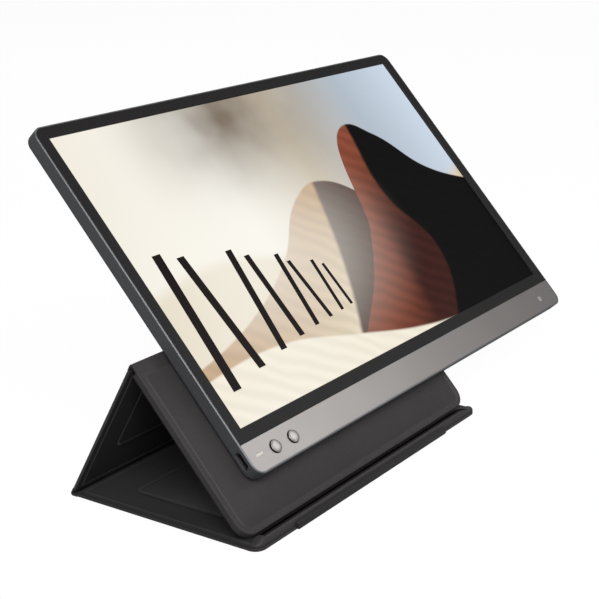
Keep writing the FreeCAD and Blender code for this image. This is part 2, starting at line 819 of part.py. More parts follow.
# Folding cover
def panel_shell(name, frame, start, end, thickness, board, radii, fold_edges):
    """Skin with a turned edge, stiff board in its hollow and a lining over both.

    board is the outline of the board, fold_edges are the lengths along the panel at which it meets
    a fold strip, where its edge stays square.
    """
    outline = (0, start, S.cover_width, end)
    depth = thickness - S.skin_thickness - S.lining_thickness
    skin = plate(f"{name}_skin", frame, outline, None, S.skin_thickness + depth, radii)

    def is_free_outer_edge(edge):
        span = edge.BoundBox
        along_fold = span.YLength < SAME_PLACE
        at_fold = any(abs(span.YMin - float(fold)) < SAME_PLACE for fold in fold_edges)
        return lies_at(edge, 0) and not (along_fold and at_fold)

    dress(skin, "Fillet", "Radius", S.skin_edge_radius, is_free_outer_edge)
    gap = S.fixed_gap
    hollow = new_sketch(skin, S.skin_thickness + depth + S.overrun)
    rectangle(hollow, board[0] - gap, board[1] - gap, board[2] + gap, board[3] + gap)
    pocket(skin, hollow, depth + S.overrun)
    stiff = plate(f"{name}_board", frame, board, S.skin_thickness, depth)
    lining_back = thickness - S.lining_thickness
    lining = plate(f"{name}_lining", frame, outline, lining_back, S.lining_thickness, radii)
    return stiff, lining


def emboss(lining, board):
    """Pressed rise of the lining over its board."""
    sketch = new_sketch(lining, S.panel_thickness)
    rectangle(sketch, *board, (S.emboss_corner_radius,) * 4)
    pad(lining, sketch, S.emboss_height)


def base_panel():
    """Panel on the table, with the padded lip and the strip that the foot's magnets hold."""
    corner = S.cover_corner_radius
    foot_line = S.lip_reach + Size(str(foot_setback), foot_setback)
    board = (
        S.emboss_margin,
        foot_line + S.keeper_width + S.emboss_free_margin,
        S.cover_width - S.emboss_margin,
        base_length - S.emboss_fold_margin,
    )
    _, lining = panel_shell(
        "base", BASE_FRAME, 0, base_length, S.panel_thickness, board, (corner, corner, 0, 0), (base_length,)
    )
    emboss(lining, board)
    keeper_left = (S.cover_width - S.keeper_length) / 2
    keeper = (keeper_left, foot_line, keeper_left + S.keeper_length, foot_line + S.keeper_width)
    skin = doc.getObject("base_skin")
    groove = new_sketch(skin, S.panel_thickness - S.lining_thickness + S.overrun)
    gap = S.fixed_gap
    rectangle(groove, keeper[0] - gap, keeper[1] - gap, keeper[2] + gap, keeper[3] + gap)
    pocket(skin, groove, S.keeper_thickness + S.overrun)
    keeper_back = S.panel_thickness - S.lining_thickness - S.keeper_thickness
    plate("base_keeper", BASE_FRAME, keeper, keeper_back, S.keeper_thickness)

    inset = S.lip_inset
    lip_back = Size(str(foot_front), foot_front) - S.fixed_gap
    lip_depth = lip_back - inset
    outline = (inset, inset, S.cover_width - inset, lip_back)
    lip_radii = (lip_depth * LIP_CORNER_SHARE, lip_depth * LIP_CORNER_SHARE, 0, 0)
    lip = plate("front_lip", BASE_FRAME, outline, S.panel_thickness, S.lip_height, lip_radii)
    lip_top = S.panel_thickness + S.lip_height
    dress(lip, "Fillet", "Radius", lip_depth * LIP_EDGE_SHARE, lambda edge: lies_at(edge, lip_top))


def rear_panel():
    """Panel that rises from the rear fold to the top fold."""
    start, end = fold_gap, S.rear_span - fold_gap
    board = (
        S.emboss_margin,
        start + S.emboss_fold_margin,
        S.cover_width - S.emboss_margin,
        end - S.emboss_free_margin,
    )
    square = (0, 0, 0, 0)
    folds = (start, end)
    _, lining = panel_shell("rear", REAR_FRAME, start, end, S.panel_thickness, board, square, folds)
    emboss(lining, board)


def support_panel():
    """Panel that carries the monitor, with magnets towards its back and at its foot."""
    start, end = S.support_thickness, support_length
    corner = S.foot_corner_radius
    margin = S.board_margin
    board = (margin, start + margin, S.cover_width - margin, end - margin)
    stiff, _ = panel_shell(
        "support", SUPPORT_FRAME, start, end, S.support_thickness, board, (0, 0, corner, corner), (start,)
    )
    cut_corner = S.foot_corner_radius - margin
    trim_board_corners(stiff, board, cut_corner)
    gap = S.fixed_gap
    disc_places = [(S.disc_left + S.disc_pitch * index, start + S.disc_drop) for index in range(DISC_COUNT)]
    bar_top = board[3] - S.bar_margin
    bar_lefts = [S.bar_left + S.bar_pitch * index for index in range(BAR_COUNT)]
    seats = new_sketch(stiff, S.skin_thickness + S.disc_thickness)
    for x, y in disc_places:
        circle(seats, x, y, S.disc_radius + gap)
    pocket(stiff, seats, S.disc_thickness + S.overrun)
    bar_seats = new_sketch(stiff, S.skin_thickness + S.bar_thickness)
    for left in bar_lefts:
        bar_right = left + S.bar_length
        rectangle(bar_seats, left - gap, bar_top - S.bar_width - gap, bar_right + gap, bar_top + gap)
    pocket(stiff, bar_seats, S.bar_thickness + S.overrun)
    discs = [cylinder(x, y, S.skin_thickness, S.disc_radius, S.disc_thickness) for x, y in disc_places]
    group("panel_magnets", SUPPORT_FRAME, discs)
    bars = [
        box(left, bar_top - S.bar_width, S.skin_thickness, S.bar_length, S.bar_width, S.bar_thickness)
        for left in bar_lefts
    ]
    group("foot_magnets", SUPPORT_FRAME, bars)


def trim_board_corners(stiff, board, radius):
    """Round the board's corners at the foot inside the skin's round corners."""

    def is_foot_corner(edge):
        span = edge.BoundBox
        upright = span.XLength < SAME_PLACE and span.YLength < SAME_PLACE
        return upright and abs(span.YMin - float(board[3])) < SAME_PLACE

    dress(stiff, "Fillet", "Radius", radius, is_foot_corner)


def fold_strip(label, axis, legs):
    """Leather bent round a fold. Each leg is its direction, its outward normal and its length."""
    outer = float(fold_radius)
    inner = outer - float(S.fold_strip_thickness)
    (first_way, first_out, first_length), (last_way, last_out, last_length) = legs
    halfway = (first_out + last_out).normalize()

    def corner(way, out, length, radius):
        return axis + way * float(length) + out * radius

    outside_first = corner(first_way, first_out, first_length, outer)
    outside_last = corner(last_way, last_out, last_length, outer)
    inside_first = corner(first_way, first_out, first_length, inner)
    inside_last = corner(last_way, last_out, last_length, inner)
    bends = {
        radius: [axis + out * radius for out in (first_out, halfway, last_out)] for radius in (outer, inner)
    }
    edges = [
        Part.LineSegment(outside_first, bends[outer][0]),
        Part.Arc(*bends[outer]),
        Part.LineSegment(bends[outer][-1], outside_last),
        Part.LineSegment(outside_last, inside_last),
        Part.LineSegment(inside_last, bends[inner][-1]),
        Part.Arc(*reversed(bends[inner])),
        Part.LineSegment(bends[inner][0], inside_first),
        Part.LineSegment(inside_first, outside_first),
    ]
    face = Part.Face(Part.Wire([edge.toShape() for edge in edges]))
    strip = doc.addObject("Part::Feature", label)
    strip.Label = label
    strip.Shape = face.extrude(ALONG_X * float(S.cover_width))
    nodes.append(strip)


def write_parts():
    """Check every object and write each sub-part to its own file."""
    doc.recompute()
    failed = [item.Name for item in doc.Objects if {"Invalid", "Error"} & set(item.State)]
    failed += [node.Label for node in nodes if node.Shape.isNull() or not node.Shape.isValid()]
    if failed:
        raise RuntimeError(f"not built: {failed}")
    os.makedirs("parts", exist_ok=True)
    for node in nodes:
        node.Shape.exportStep(f"parts/{node.Label}.step")
        print(f"{node.Label}: {len(node.Shape.Solids)} solids, {node.Shape.Volume:.1f} mm3")


rear_cover()
front_bezel()
chin_panel()
display_module()
panel_electronics()
main_board()
board_screws()
usb_c_socket()
board_parts()
indicator_lens()
steel_plate()
push_button("menu_button", button_lefts[0])
push_button("power_button", button_lefts[1])
base_panel()
rear_panel()
support_panel()
fold_strip("rear_fold_strip", rear_axis, ((Vector(0, -1, 0), -UP, fold_gap), (rear_up, rear_out, fold_gap)))
fold_strip(
    "top_fold_strip",
    top_axis,
    ((-rear_up, rear_out, fold_gap), (support_down, support_out, S.support_thickness)),
)
write_parts()
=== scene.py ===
"""Looks of a portable monitor that leans on its own folded cover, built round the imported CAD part.

Metres, in the frame of the CAD: +X along the folds, +Y to the back, +Z up.
"""
import json
import logging
import math
from dataclasses import dataclass, replace
from enum import Enum
from typing import ClassVar

import bmesh
import bpy
from mathutils import Matrix, Vector

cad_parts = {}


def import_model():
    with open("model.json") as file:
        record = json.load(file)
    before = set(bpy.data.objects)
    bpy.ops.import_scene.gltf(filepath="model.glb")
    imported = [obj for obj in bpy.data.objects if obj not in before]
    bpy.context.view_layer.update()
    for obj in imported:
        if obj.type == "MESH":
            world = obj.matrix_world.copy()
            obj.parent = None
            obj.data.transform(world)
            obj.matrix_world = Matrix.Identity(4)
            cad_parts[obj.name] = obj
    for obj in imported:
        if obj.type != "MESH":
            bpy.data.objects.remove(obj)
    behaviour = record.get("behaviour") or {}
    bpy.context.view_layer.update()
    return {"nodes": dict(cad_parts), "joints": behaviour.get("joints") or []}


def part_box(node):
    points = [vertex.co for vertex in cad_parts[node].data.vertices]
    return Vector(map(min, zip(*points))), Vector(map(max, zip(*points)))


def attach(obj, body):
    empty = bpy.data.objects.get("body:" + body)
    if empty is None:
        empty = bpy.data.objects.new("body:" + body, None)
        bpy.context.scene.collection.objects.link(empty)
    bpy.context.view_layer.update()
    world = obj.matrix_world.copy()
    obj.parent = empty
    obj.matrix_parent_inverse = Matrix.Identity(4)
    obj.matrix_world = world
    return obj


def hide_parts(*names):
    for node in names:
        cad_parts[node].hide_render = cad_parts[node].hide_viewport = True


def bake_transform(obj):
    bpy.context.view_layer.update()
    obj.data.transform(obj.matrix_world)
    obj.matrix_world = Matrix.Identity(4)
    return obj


MM = 0.001
SMOOTH_ANGLE = math.radians(40)
PHOTO_PIXELS = 599
# Width of the cover along its folds, in millimetres
COVER_WIDTH = 206.0
# Sockets of a Mix node that mixes colours
MIX_FACTOR, MIX_A, MIX_B, MIX_RESULT = 0, 6, 7, 2
# Most of a noise texture's values lie between these
NOISE_LOW, NOISE_HIGH = 0.3, 0.7
# Steps of a rounded corner and of a rounded edge, and how near two levels count as one, in millimetres
CORNER_STEPS, EDGE_STEPS, SAME_LEVEL = 10, 4, 1e-5
# How far up or down a face has to point to count as a flat one
FLAT_FACING = 0.9
log = logging.getLogger("portable_monitor")

Colour = tuple[float, float, float, float]
CurvePoints = tuple[tuple[float, float], ...]
# Left, bottom, right and top of a flat piece, in millimetres
Outline = tuple[float, float, float, float]
Material = bpy.types.Material
Tree = bpy.types.NodeTree
Socket = bpy.types.NodeSocket
Piece = bpy.types.Object
Mesh = bmesh.types.BMesh


def linear(hex_colour: str) -> Colour:
    """Turn an sRGB hex colour to linear light.

    Args:
        hex_colour: six hex digits after a hash.

    Returns:
        Linear red, green and blue, and an alpha of 1.
    """
    channels = [int(hex_colour[index:index + 2], 16) / 255 for index in (1, 3, 5)]
    red, green, blue = (c / 12.92 if c <= 0.04045 else ((c + 0.055) / 1.055) ** 2.4 for c in channels)
    return (red, green, blue, 1.0)


def add_node(tree: Tree, kind: str, inputs: dict | None = None, **settings: object) -> bpy.types.Node:
    """Add one node with its settings, and set or link its inputs.

    Args:
        tree: the node tree.
        kind: Blender's name of the node type.
        inputs: socket name or number to a value, or to the socket that feeds it.
        settings: properties of the node itself.

    Returns:
        The new node.
    """
    node = tree.nodes.new(kind)
    for name, value in settings.items():
        setattr(node, name, value)
    for name, value in (inputs or {}).items():
        if isinstance(value, Socket):
            tree.links.new(value, node.inputs[name])
        else:
            node.inputs[name].default_value = value
    return node


def new_material(name: str) -> tuple[Material, Tree]:
    """Start a material with an empty node tree.

    Args:
        name: the material's name.

    Returns:
        The material and its node tree.
    """
    material = bpy.data.materials.new(name)
    material.use_nodes = True
    material.node_tree.nodes.clear()
    return material, material.node_tree


def per_metre(millimetres: float) -> float:
    """Texture scale at which one cell measures that many millimetres."""
    return 1 / (millimetres * MM)


# Finishes


@dataclass(frozen=True)
class GrainFinish:
    """Even finish with a fine grain and a slow drift of tone: moulded, painted, plated and sheet parts."""

    name: str
    colour: str
    roughness: float
    metallic: float = 0.0
    specular: float = 0.5
    grain_mm: float = 0.8
    grain_depth_mm: float = 0.01
    tone_mm: float = 30.0
    tone_share: float = 0.06
    gloss_share: float = 0.08
    sheen: float = 0.0
    glow: float = 0.0

    def material(self) -> Material:
        """Build the material.

        Returns:
            The finished node material.
        """
        material, tree = new_material(self.name)
        place = add_node(tree, "ShaderNodeTexCoord").outputs["Object"]
        tone = add_node(
            tree, "ShaderNodeTexNoise", {"Vector": place, "Scale": per_metre(self.tone_mm), "Detail": 4.0}
        )
        shades = add_node(tree, "ShaderNodeMapRange", {
            "Value": tone.outputs["Fac"], "From Min": NOISE_LOW, "From Max": NOISE_HIGH,
            "To Min": 1 - self.tone_share, "To Max": 1 + self.tone_share,
        })
        paint = add_node(tree, "ShaderNodeMix", {
            MIX_FACTOR: 1.0, MIX_A: linear(self.colour), MIX_B: shades.outputs["Result"],
        }, data_type="RGBA", blend_type="MULTIPLY")
        grain = add_node(
            tree, "ShaderNodeTexNoise", {"Vector": place, "Scale": per_metre(self.grain_mm), "Detail": 3.0}
        )
        bump = add_node(tree, "ShaderNodeBump", {
            "Height": grain.outputs["Fac"], "Distance": self.grain_depth_mm * MM,
        })
        gloss = add_node(tree, "ShaderNodeMapRange", {
            "Value": grain.outputs["Fac"], "From Min": NOISE_LOW, "From Max": NOISE_HIGH,
            "To Min": self.roughness * (1 - self.gloss_share),
            "To Max": min(1.0, self.roughness * (1 + self.gloss_share)),
        })
        shader = add_node(tree, "ShaderNodeBsdfPrincipled", {
            "Base Color": paint.outputs[MIX_RESULT],
            "Metallic": self.metallic,
            "Roughness": gloss.outputs["Result"],
            "Specular IOR Level": self.specular,
            "Sheen Weight": self.sheen,
            "Emission Color": linear(self.colour),
            "Emission Strength": self.glow,
            "Normal": bump.outputs["Normal"],
        })
        add_node(tree, "ShaderNodeOutputMaterial", {"Surface": shader.outputs["BSDF"]})
        return material


@dataclass(frozen=True)
class HousingFinish:
    """Moulded shell, softly textured, whose front rim is metallic and painted paler: the metal is its finish,
    the paler colour a painted highlight.
    """

    name: str
    frame: Matrix
    shell: str
    # Paler colour of the front rim: painted highlight
    rim: str
    rim_start_mm: float
    rim_blur_mm: float = 0.04
    rim_metallic: float = 0.6
    shell_roughness: float = 0.42
    rim_roughness: float = 0.48
    specular: float = 0.45
    grain_mm: float = 0.7
    grain_depth_mm: float = 0.006

    def material(self) -> Material:
        """Build the material.

        Returns:
            The finished node material.
        """
        material, tree = new_material(self.name)
        place = add_node(tree, "ShaderNodeTexCoord").outputs["Object"]
        flat = add_node(tree, "ShaderNodeMapping", {
            "Vector": place, "Location": self.frame.to_translation(), "Rotation": self.frame.to_euler(),
            "Scale": (MM, MM, MM),
        }, vector_type="TEXTURE")
        height = add_node(tree, "ShaderNodeSeparateXYZ", {"Vector": flat.outputs["Vector"]}).outputs["Z"]
        rim = add_node(tree, "ShaderNodeMapRange", {
            "Value": height, "From Min": self.rim_start_mm - self.rim_blur_mm,
            "From Max": self.rim_start_mm + self.rim_blur_mm,
        }).outputs["Result"]
        grain = add_node(
            tree, "ShaderNodeTexNoise", {"Vector": place, "Scale": per_metre(self.grain_mm), "Detail": 3.0}
        )
        bump = add_node(tree, "ShaderNodeBump", {
            "Height": grain.outputs["Fac"], "Distance": self.grain_depth_mm * MM,
        })
        paint = add_node(tree, "ShaderNodeMix", {
            MIX_FACTOR: rim, MIX_A: linear(self.shell), MIX_B: linear(self.rim),
        }, data_type="RGBA")
        gloss = add_node(tree, "ShaderNodeMapRange", {
            "Value": rim, "To Min": self.shell_roughness, "To Max": self.rim_roughness,
        })
        metal = add_node(tree, "ShaderNodeMath", {0: rim, 1: self.rim_metallic}, operation="MULTIPLY")
        shader = add_node(tree, "ShaderNodeBsdfPrincipled", {
            "Base Color": paint.outputs[MIX_RESULT],
            "Metallic": metal.outputs["Value"],
            "Roughness": gloss.outputs["Result"],
            "Specular IOR Level": self.specular,
            "Normal": bump.outputs["Normal"],
        })
        add_node(tree, "ShaderNodeOutputMaterial", {"Surface": shader.outputs["BSDF"]})
        return material


@dataclass(frozen=True)
class LeatheretteFinish:
    """Coated fabric: pebbles pressed into the coat, small creases, and a dull sheen where it is rubbed."""

    name: str
    colour: str
    rubbed: str
    roughness: float = 0.52
    # Real pebbles are about 0.5 mm across. They are drawn coarser so that they show in the render.
    pebble_mm: float = 1.1
    pebble_depth_mm: float = 0.05
    crease_mm: float = 9.0
    crease_depth_mm: float = 0.12
    tone_mm: float = 38.0
    worn_from: float = 0.38
    worn_to: float = 0.72
    worn_share: float = 0.55
    pebble_top: float = 0.6
    gloss_shares: tuple[float, float] = (0.9, 1.2)
    specular: float = 0.42
    sheen: float = 0.08

    def material(self) -> Material:
        """Build the material.

        Returns:
            The finished node material.
        """
        material, tree = new_material(self.name)
        place = add_node(tree, "ShaderNodeTexCoord").outputs["Object"]
        tone = add_node(
            tree, "ShaderNodeTexNoise", {"Vector": place, "Scale": per_metre(self.tone_mm), "Detail": 5.0}
        )
        worn = add_node(tree, "ShaderNodeMapRange", {
            "Value": tone.outputs["Fac"], "From Min": self.worn_from, "From Max": self.worn_to,
            "To Min": 0.0, "To Max": self.worn_share,
        })
        coat = add_node(tree, "ShaderNodeMix", {
            MIX_FACTOR: worn.outputs["Result"], MIX_A: linear(self.colour), MIX_B: linear(self.rubbed),
        }, data_type="RGBA")
        pebbles = add_node(tree, "ShaderNodeTexVoronoi", {
            "Vector": place, "Scale": per_metre(self.pebble_mm), "Randomness": 0.9,
        }, feature="SMOOTH_F1")
        creases = add_node(
            tree, "ShaderNodeTexNoise", {"Vector": place, "Scale": per_metre(self.crease_mm), "Detail": 6.0}
        )
        soft = add_node(tree, "ShaderNodeBump", {
            "Height": creases.outputs["Fac"], "Distance": self.crease_depth_mm * MM,
        })
        bump = add_node(tree, "ShaderNodeBump", {
            "Height": pebbles.outputs["Distance"], "Distance": self.pebble_depth_mm * MM,
            "Normal": soft.outputs["Normal"],
        }, invert=True)
        gloss = add_node(tree, "ShaderNodeMapRange", {
            "Value": pebbles.outputs["Distance"], "From Min": 0.0, "From Max": self.pebble_top,
            "To Min": self.roughness * self.gloss_shares[0],
            "To Max": min(1.0, self.roughness * self.gloss_shares[1]),
        })
        shader = add_node(tree, "ShaderNodeBsdfPrincipled", {
            "Base Color": coat.outputs[MIX_RESULT],
            "Roughness": gloss.outputs["Result"],
            "Specular IOR Level": self.specular,
            "Sheen Weight": self.sheen,
            "Normal": bump.outputs["Normal"],
        })
        add_node(tree, "ShaderNodeOutputMaterial", {"Surface": shader.outputs["BSDF"]})
        return material


@dataclass(frozen=True)
class Dune:
    """One dune of the wallpaper, in shares of the picture's width and height."""

    skyline: CurvePoints
    shadow_edge: CurvePoints
    lit: str
    foot: str
    shade: str
    softness: float
    ripple: float = 0.0


@dataclass(frozen=True)
class Post:
    """One weathered post of the wallpaper's fence, in shares of the picture's width and height."""

    x: float
    foot: float
    height: float
    half_width: float
    lean: float


@dataclass(frozen=True)
class WallpaperFinish:
    """Lit display behind an anti-glare film, showing a soft picture of dunes made for this part."""

    name: str
    frame: Matrix
    width: float
    height: float
    film: str = "#060606"
    film_roughness: float = 0.38
    film_specular: float = 0.06
    backlight: float = 0.96
    sky_stops: tuple[tuple[float, str], ...] = (
        (0.0, "#f7f1e4"), (0.32, "#fdfaf2"), (0.55, "#d2c6b2"), (0.8, "#b4c0cc"), (1.0, "#cfdcea"),
    )
    haze: str = "#6d5d4c"
    haze_from: float = 0.5
    haze_strength: float = 2.1
    haze_left: tuple[float, float] = (0.08, 0.45)
    haze_right: tuple[float, float] = (0.82, 0.3)
    cloud_mm: float = 70.0
    dune_depth: float = 0.5
    ripple_mm: float = 26.0
    post_colour: str = "#1a1412"
    glow: str = "#fffdf4"
    glow_place: tuple[float, float, float] = (0.25, 0.44, 0.0)
    glow_strength: float = 0.62
    glow_reach: float = 0.5

    def material(self) -> Material:
        """Build the material.

        Returns:
            The finished node material.
        """
        material, tree = new_material(self.name)
        place = add_node(tree, "ShaderNodeTexCoord").outputs["Object"]
        flat = add_node(tree, "ShaderNodeMapping", {
            "Vector": place, "Location": self.frame.to_translation(), "Rotation": self.frame.to_euler(),
            "Scale": (self.width, self.height, 1.0),
        }, vector_type="TEXTURE")
        shares = add_node(tree, "ShaderNodeSeparateXYZ", {"Vector": flat.outputs["Vector"]})
        across, upward = shares.outputs["X"], shares.outputs["Y"]
        picture = self.sky(tree, across, upward, place)
        for dune in DUNES:
            picture = self.with_dune(tree, picture, dune, across, upward, place)
        picture = self.with_glow(tree, picture, flat.outputs["Vector"])
        for post in POSTS:
            picture = self.with_post(tree, picture, post, across, upward)
        shader = add_node(tree, "ShaderNodeBsdfPrincipled", {
            "Base Color": linear(self.film),
            "Roughness": self.film_roughness,
            "Specular IOR Level": self.film_specular,
            "Emission Color": picture,
            "Emission Strength": self.backlight,
        })
        add_node(tree, "ShaderNodeOutputMaterial", {"Surface": shader.outputs["BSDF"]})
        return material

    def sky(self, tree: Tree, across: Socket, upward: Socket, place: Socket) -> Socket:
        """Sky that goes from cream on the left to pale blue, with a bank of brown haze above.

        Args:
            tree: the node tree.
            across: share of the picture's width.
            upward: share of the picture's height.
            place: object coordinates, for the clouds.

        Returns:
            The colour socket.
        """
        ramp = add_node(tree, "ShaderNodeValToRGB", {"Fac": across})
        elements = ramp.color_ramp.elements
        while len(elements) < len(self.sky_stops):
            elements.new(0.5)
        for element, (position, colour) in zip(elements, self.sky_stops):
            element.position = position
            element.color = linear(colour)
        clouds = add_node(
            tree, "ShaderNodeTexNoise", {"Vector": place, "Scale": per_metre(self.cloud_mm), "Detail": 3.0}
        )
        height = add_node(tree, "ShaderNodeMapRange", {
            "Value": upward, "From Min": self.haze_from, "To Max": self.haze_strength,
        }, interpolation_type="SMOOTHSTEP")
        sides = [
            add_node(tree, "ShaderNodeMapRange", {
                "Value": across, "From Min": start, "From Max": full,
            }, interpolation_type="SMOOTHSTEP").outputs["Result"]
            for start, full in (self.haze_right, self.haze_left)
        ]
        bank = add_node(tree, "ShaderNodeMath", {0: sides[0], 1: sides[1]}, operation="MULTIPLY")
        haze = add_node(tree, "ShaderNodeMath", {
            0: height.outputs["Result"], 1: bank.outputs["Value"],
        }, operation="MULTIPLY")
        patchy = add_node(tree, "ShaderNodeMath", {
            0: haze.outputs["Value"], 1: clouds.outputs["Fac"],
        }, operation="MULTIPLY", use_clamp=True)
        sky = add_node(tree, "ShaderNodeMix", {
            MIX_FACTOR: patchy.outputs["Value"], MIX_A: ramp.outputs["Color"], MIX_B: linear(self.haze),
        }, data_type="RGBA")
        return sky.outputs[MIX_RESULT]

    def with_dune(
        self, tree: Tree, behind: Socket, dune: Dune, across: Socket, upward: Socket, place: Socket
    ) -> Socket:
        """Lay one dune over what is behind it.

        Args:
            tree: the node tree.
            behind: colour of what is behind.
            dune: the dune.
            across: share of the picture's width.
            upward: share of the picture's height.
            place: object coordinates, for the ripples.

        Returns:
            The colour socket.
        """
        skyline = self.curve(tree, across, dune.skyline)
        below = add_node(tree, "ShaderNodeMath", {0: skyline, 1: upward}, operation="SUBTRACT")
        mask = add_node(tree, "ShaderNodeMapRange", {
            "Value": below.outputs["Value"], "From Min": 0.0, "From Max": dune.softness * 2,
        }, interpolation_type="SMOOTHSTEP")
        depth = add_node(tree, "ShaderNodeMapRange", {
            "Value": below.outputs["Value"], "From Min": 0.0, "From Max": self.dune_depth,
        }, interpolation_type="SMOOTHSTEP")
        lit = add_node(tree, "ShaderNodeMix", {
            MIX_FACTOR: depth.outputs["Result"], MIX_A: linear(dune.lit), MIX_B: linear(dune.foot),
        }, data_type="RGBA")
        edge = self.curve(tree, upward, dune.shadow_edge)
        past = add_node(tree, "ShaderNodeMath", {0: across, 1: edge}, operation="SUBTRACT")
        shaded = add_node(tree, "ShaderNodeMapRange", {
            "Value": past.outputs["Value"], "From Min": -dune.softness, "From Max": dune.softness * 2,
        }, interpolation_type="SMOOTHSTEP")
        body = add_node(tree, "ShaderNodeMix", {
            MIX_FACTOR: shaded.outputs["Result"], MIX_A: lit.outputs[MIX_RESULT], MIX_B: linear(dune.shade),
        }, data_type="RGBA")
        colour = body.outputs[MIX_RESULT]
        if dune.ripple:
            waves = add_node(tree, "ShaderNodeTexWave", {
                "Vector": place, "Scale": per_metre(self.ripple_mm), "Distortion": 5.0, "Detail": 2.0,
                "Detail Scale": 0.8,
            }, wave_type="BANDS", bands_direction="DIAGONAL")
            light = add_node(tree, "ShaderNodeMapRange", {
                "Value": waves.outputs["Fac"], "To Min": 1 - dune.ripple, "To Max": 1 + dune.ripple,
            })
            rippled = add_node(tree, "ShaderNodeMix", {
                MIX_FACTOR: 1.0, MIX_A: colour, MIX_B: light.outputs["Result"],
            }, data_type="RGBA", blend_type="MULTIPLY")
            colour = rippled.outputs[MIX_RESULT]
        laid = add_node(tree, "ShaderNodeMix", {
            MIX_FACTOR: mask.outputs["Result"], MIX_A: behind, MIX_B: colour,
        }, data_type="RGBA")
        return laid.outputs[MIX_RESULT]

    def with_post(self, tree: Tree, behind: Socket, post: Post, across: Socket, upward: Socket) -> Socket:
        """Stand one dark post in front of what is behind it.

        Args:
            tree: the node tree.
            behind: colour of what is behind.
            post: the post.
            across: share of the picture's width.
            upward: share of the picture's height.

        Returns:
            The colour socket.
        """
        rise = add_node(
            tree, "ShaderNodeMath", {0: upward, 1: post.foot}, operation="SUBTRACT"
        ).outputs["Value"]
        middle = add_node(
            tree, "ShaderNodeMath", {0: rise, 1: post.lean, 2: post.x}, operation="MULTIPLY_ADD"
        ).outputs["Value"]
        aside = add_node(
            tree, "ShaderNodeMath", {0: across, 1: middle}, operation="SUBTRACT"
        ).outputs["Value"]
        within = add_node(
            tree, "ShaderNodeMath", {0: aside, 1: 0.0, 2: post.half_width}, operation="COMPARE"
        ).outputs["Value"]
        half = post.height / 2
        upright = add_node(
            tree, "ShaderNodeMath", {0: rise, 1: half, 2: half}, operation="COMPARE"
        ).outputs["Value"]
        mask = add_node(tree, "ShaderNodeMath", {0: within, 1: upright}, operation="MULTIPLY")
        stood = add_node(tree, "ShaderNodeMix", {
            MIX_FACTOR: mask.outputs["Value"], MIX_A: behind, MIX_B: linear(self.post_colour),
        }, data_type="RGBA")
        return stood.outputs[MIX_RESULT]

    def with_glow(self, tree: Tree, behind: Socket, flat: Socket) -> Socket:
        """Lay the low sun's glow over the left of the picture.

        Args:
            tree: the node tree.
            behind: colour of what is behind.
            flat: place in the picture, in shares of its width and height.

        Returns:
            The colour socket.
        """
        away = add_node(tree, "ShaderNodeVectorMath", {0: flat, 1: self.glow_place}, operation="DISTANCE")
        light = add_node(tree, "ShaderNodeMapRange", {
            "Value": away.outputs["Value"], "From Min": self.glow_reach, "From Max": 0.0,
            "To Min": 0.0, "To Max": self.glow_strength,
        }, interpolation_type="SMOOTHSTEP")
        lit = add_node(tree, "ShaderNodeMix", {
            MIX_FACTOR: light.outputs["Result"], MIX_A: behind, MIX_B: linear(self.glow),
        }, data_type="RGBA")
        return lit.outputs[MIX_RESULT]

    @staticmethod
    def curve(tree: Tree, along: Socket, points: CurvePoints) -> Socket:
        """Smooth curve through a few points.

        Args:
            tree: the node tree.
            along: the value that the curve is read at.
            points: places and heights from 0 to 1, the first and last at the ends.

        Returns:
            The socket with the curve's height.
        """
        node = add_node(tree, "ShaderNodeFloatCurve", {"Factor": 1.0, "Value": along})
        line = node.mapping.curves[0]
        while len(line.points) < len(points):
            line.points.new(0.5, 0.5)
        for point, location in zip(line.points, points):
            point.location = location
        node.mapping.update()
        return node.outputs["Value"]


DUNES = (
    Dune(
        skyline=((0, 0.46), (0.18, 0.5), (0.4, 0.44), (0.62, 0.53), (0.82, 0.47), (1, 0.54)),
        shadow_edge=((0, 1), (1, 1)),
        lit="#e2d4b8", foot="#f6efe0", shade="#a08d74", softness=0.03,
    ),
    Dune(
        skyline=((0, 0.2), (0.16, 0.27), (0.32, 0.4), (0.47, 0.6), (0.54, 0.63), (0.7, 0.48), (1, 0.36)),
        shadow_edge=((0, 0.36), (0.3, 0.46), (0.63, 0.53), (1, 0.6)),
        lit="#c09c72", foot="#e6d9bf", shade="#4d3128", softness=0.005, ripple=0.08,
    ),
    Dune(
        skyline=(
            (0, 0), (0.3, 0.0), (0.45, 0.14), (0.6, 0.4), (0.73, 0.8), (0.8, 0.74), (0.9, 0.55), (1, 0.46),
        ),
        shadow_edge=((0, 0.68), (0.25, 0.76), (0.5, 0.71), (0.8, 0.735), (1, 0.74)),
        lit="#8a4a35", foot="#3d1d18", shade="#070606", softness=0.004, ripple=0.12,
    ),
    Dune(
        skyline=((0, 0.16), (0.2, 0.17), (0.38, 0.1), (0.55, 0.03), (0.7, 0.0), (1, 0.0)),
        shadow_edge=((0, 1), (1, 1)),
        lit="#f6eedc", foot="#fffdf6", shade="#cfc1a6", softness=0.006, ripple=0.04,
    ),
)
POSTS = (
    Post(x=0.045, foot=0.10, height=0.46, half_width=0.010, lean=0.03),
    Post(x=0.125, foot=0.13, height=0.40, half_width=0.009, lean=-0.05),
    Post(x=0.195, foot=0.15, height=0.35, half_width=0.008, lean=0.06),
    Post(x=0.255, foot=0.165, height=0.30, half_width=0.007, lean=-0.02),
    Post(x=0.305, foot=0.175, height=0.26, half_width=0.006, lean=0.05),
    Post(x=0.350, foot=0.18, height=0.22, half_width=0.005, lean=-0.06),
    Post(x=0.388, foot=0.185, height=0.19, half_width=0.0045, lean=0.03),
    Post(x=0.420, foot=0.19, height=0.16, half_width=0.004, lean=-0.03),
)


# Building blocks


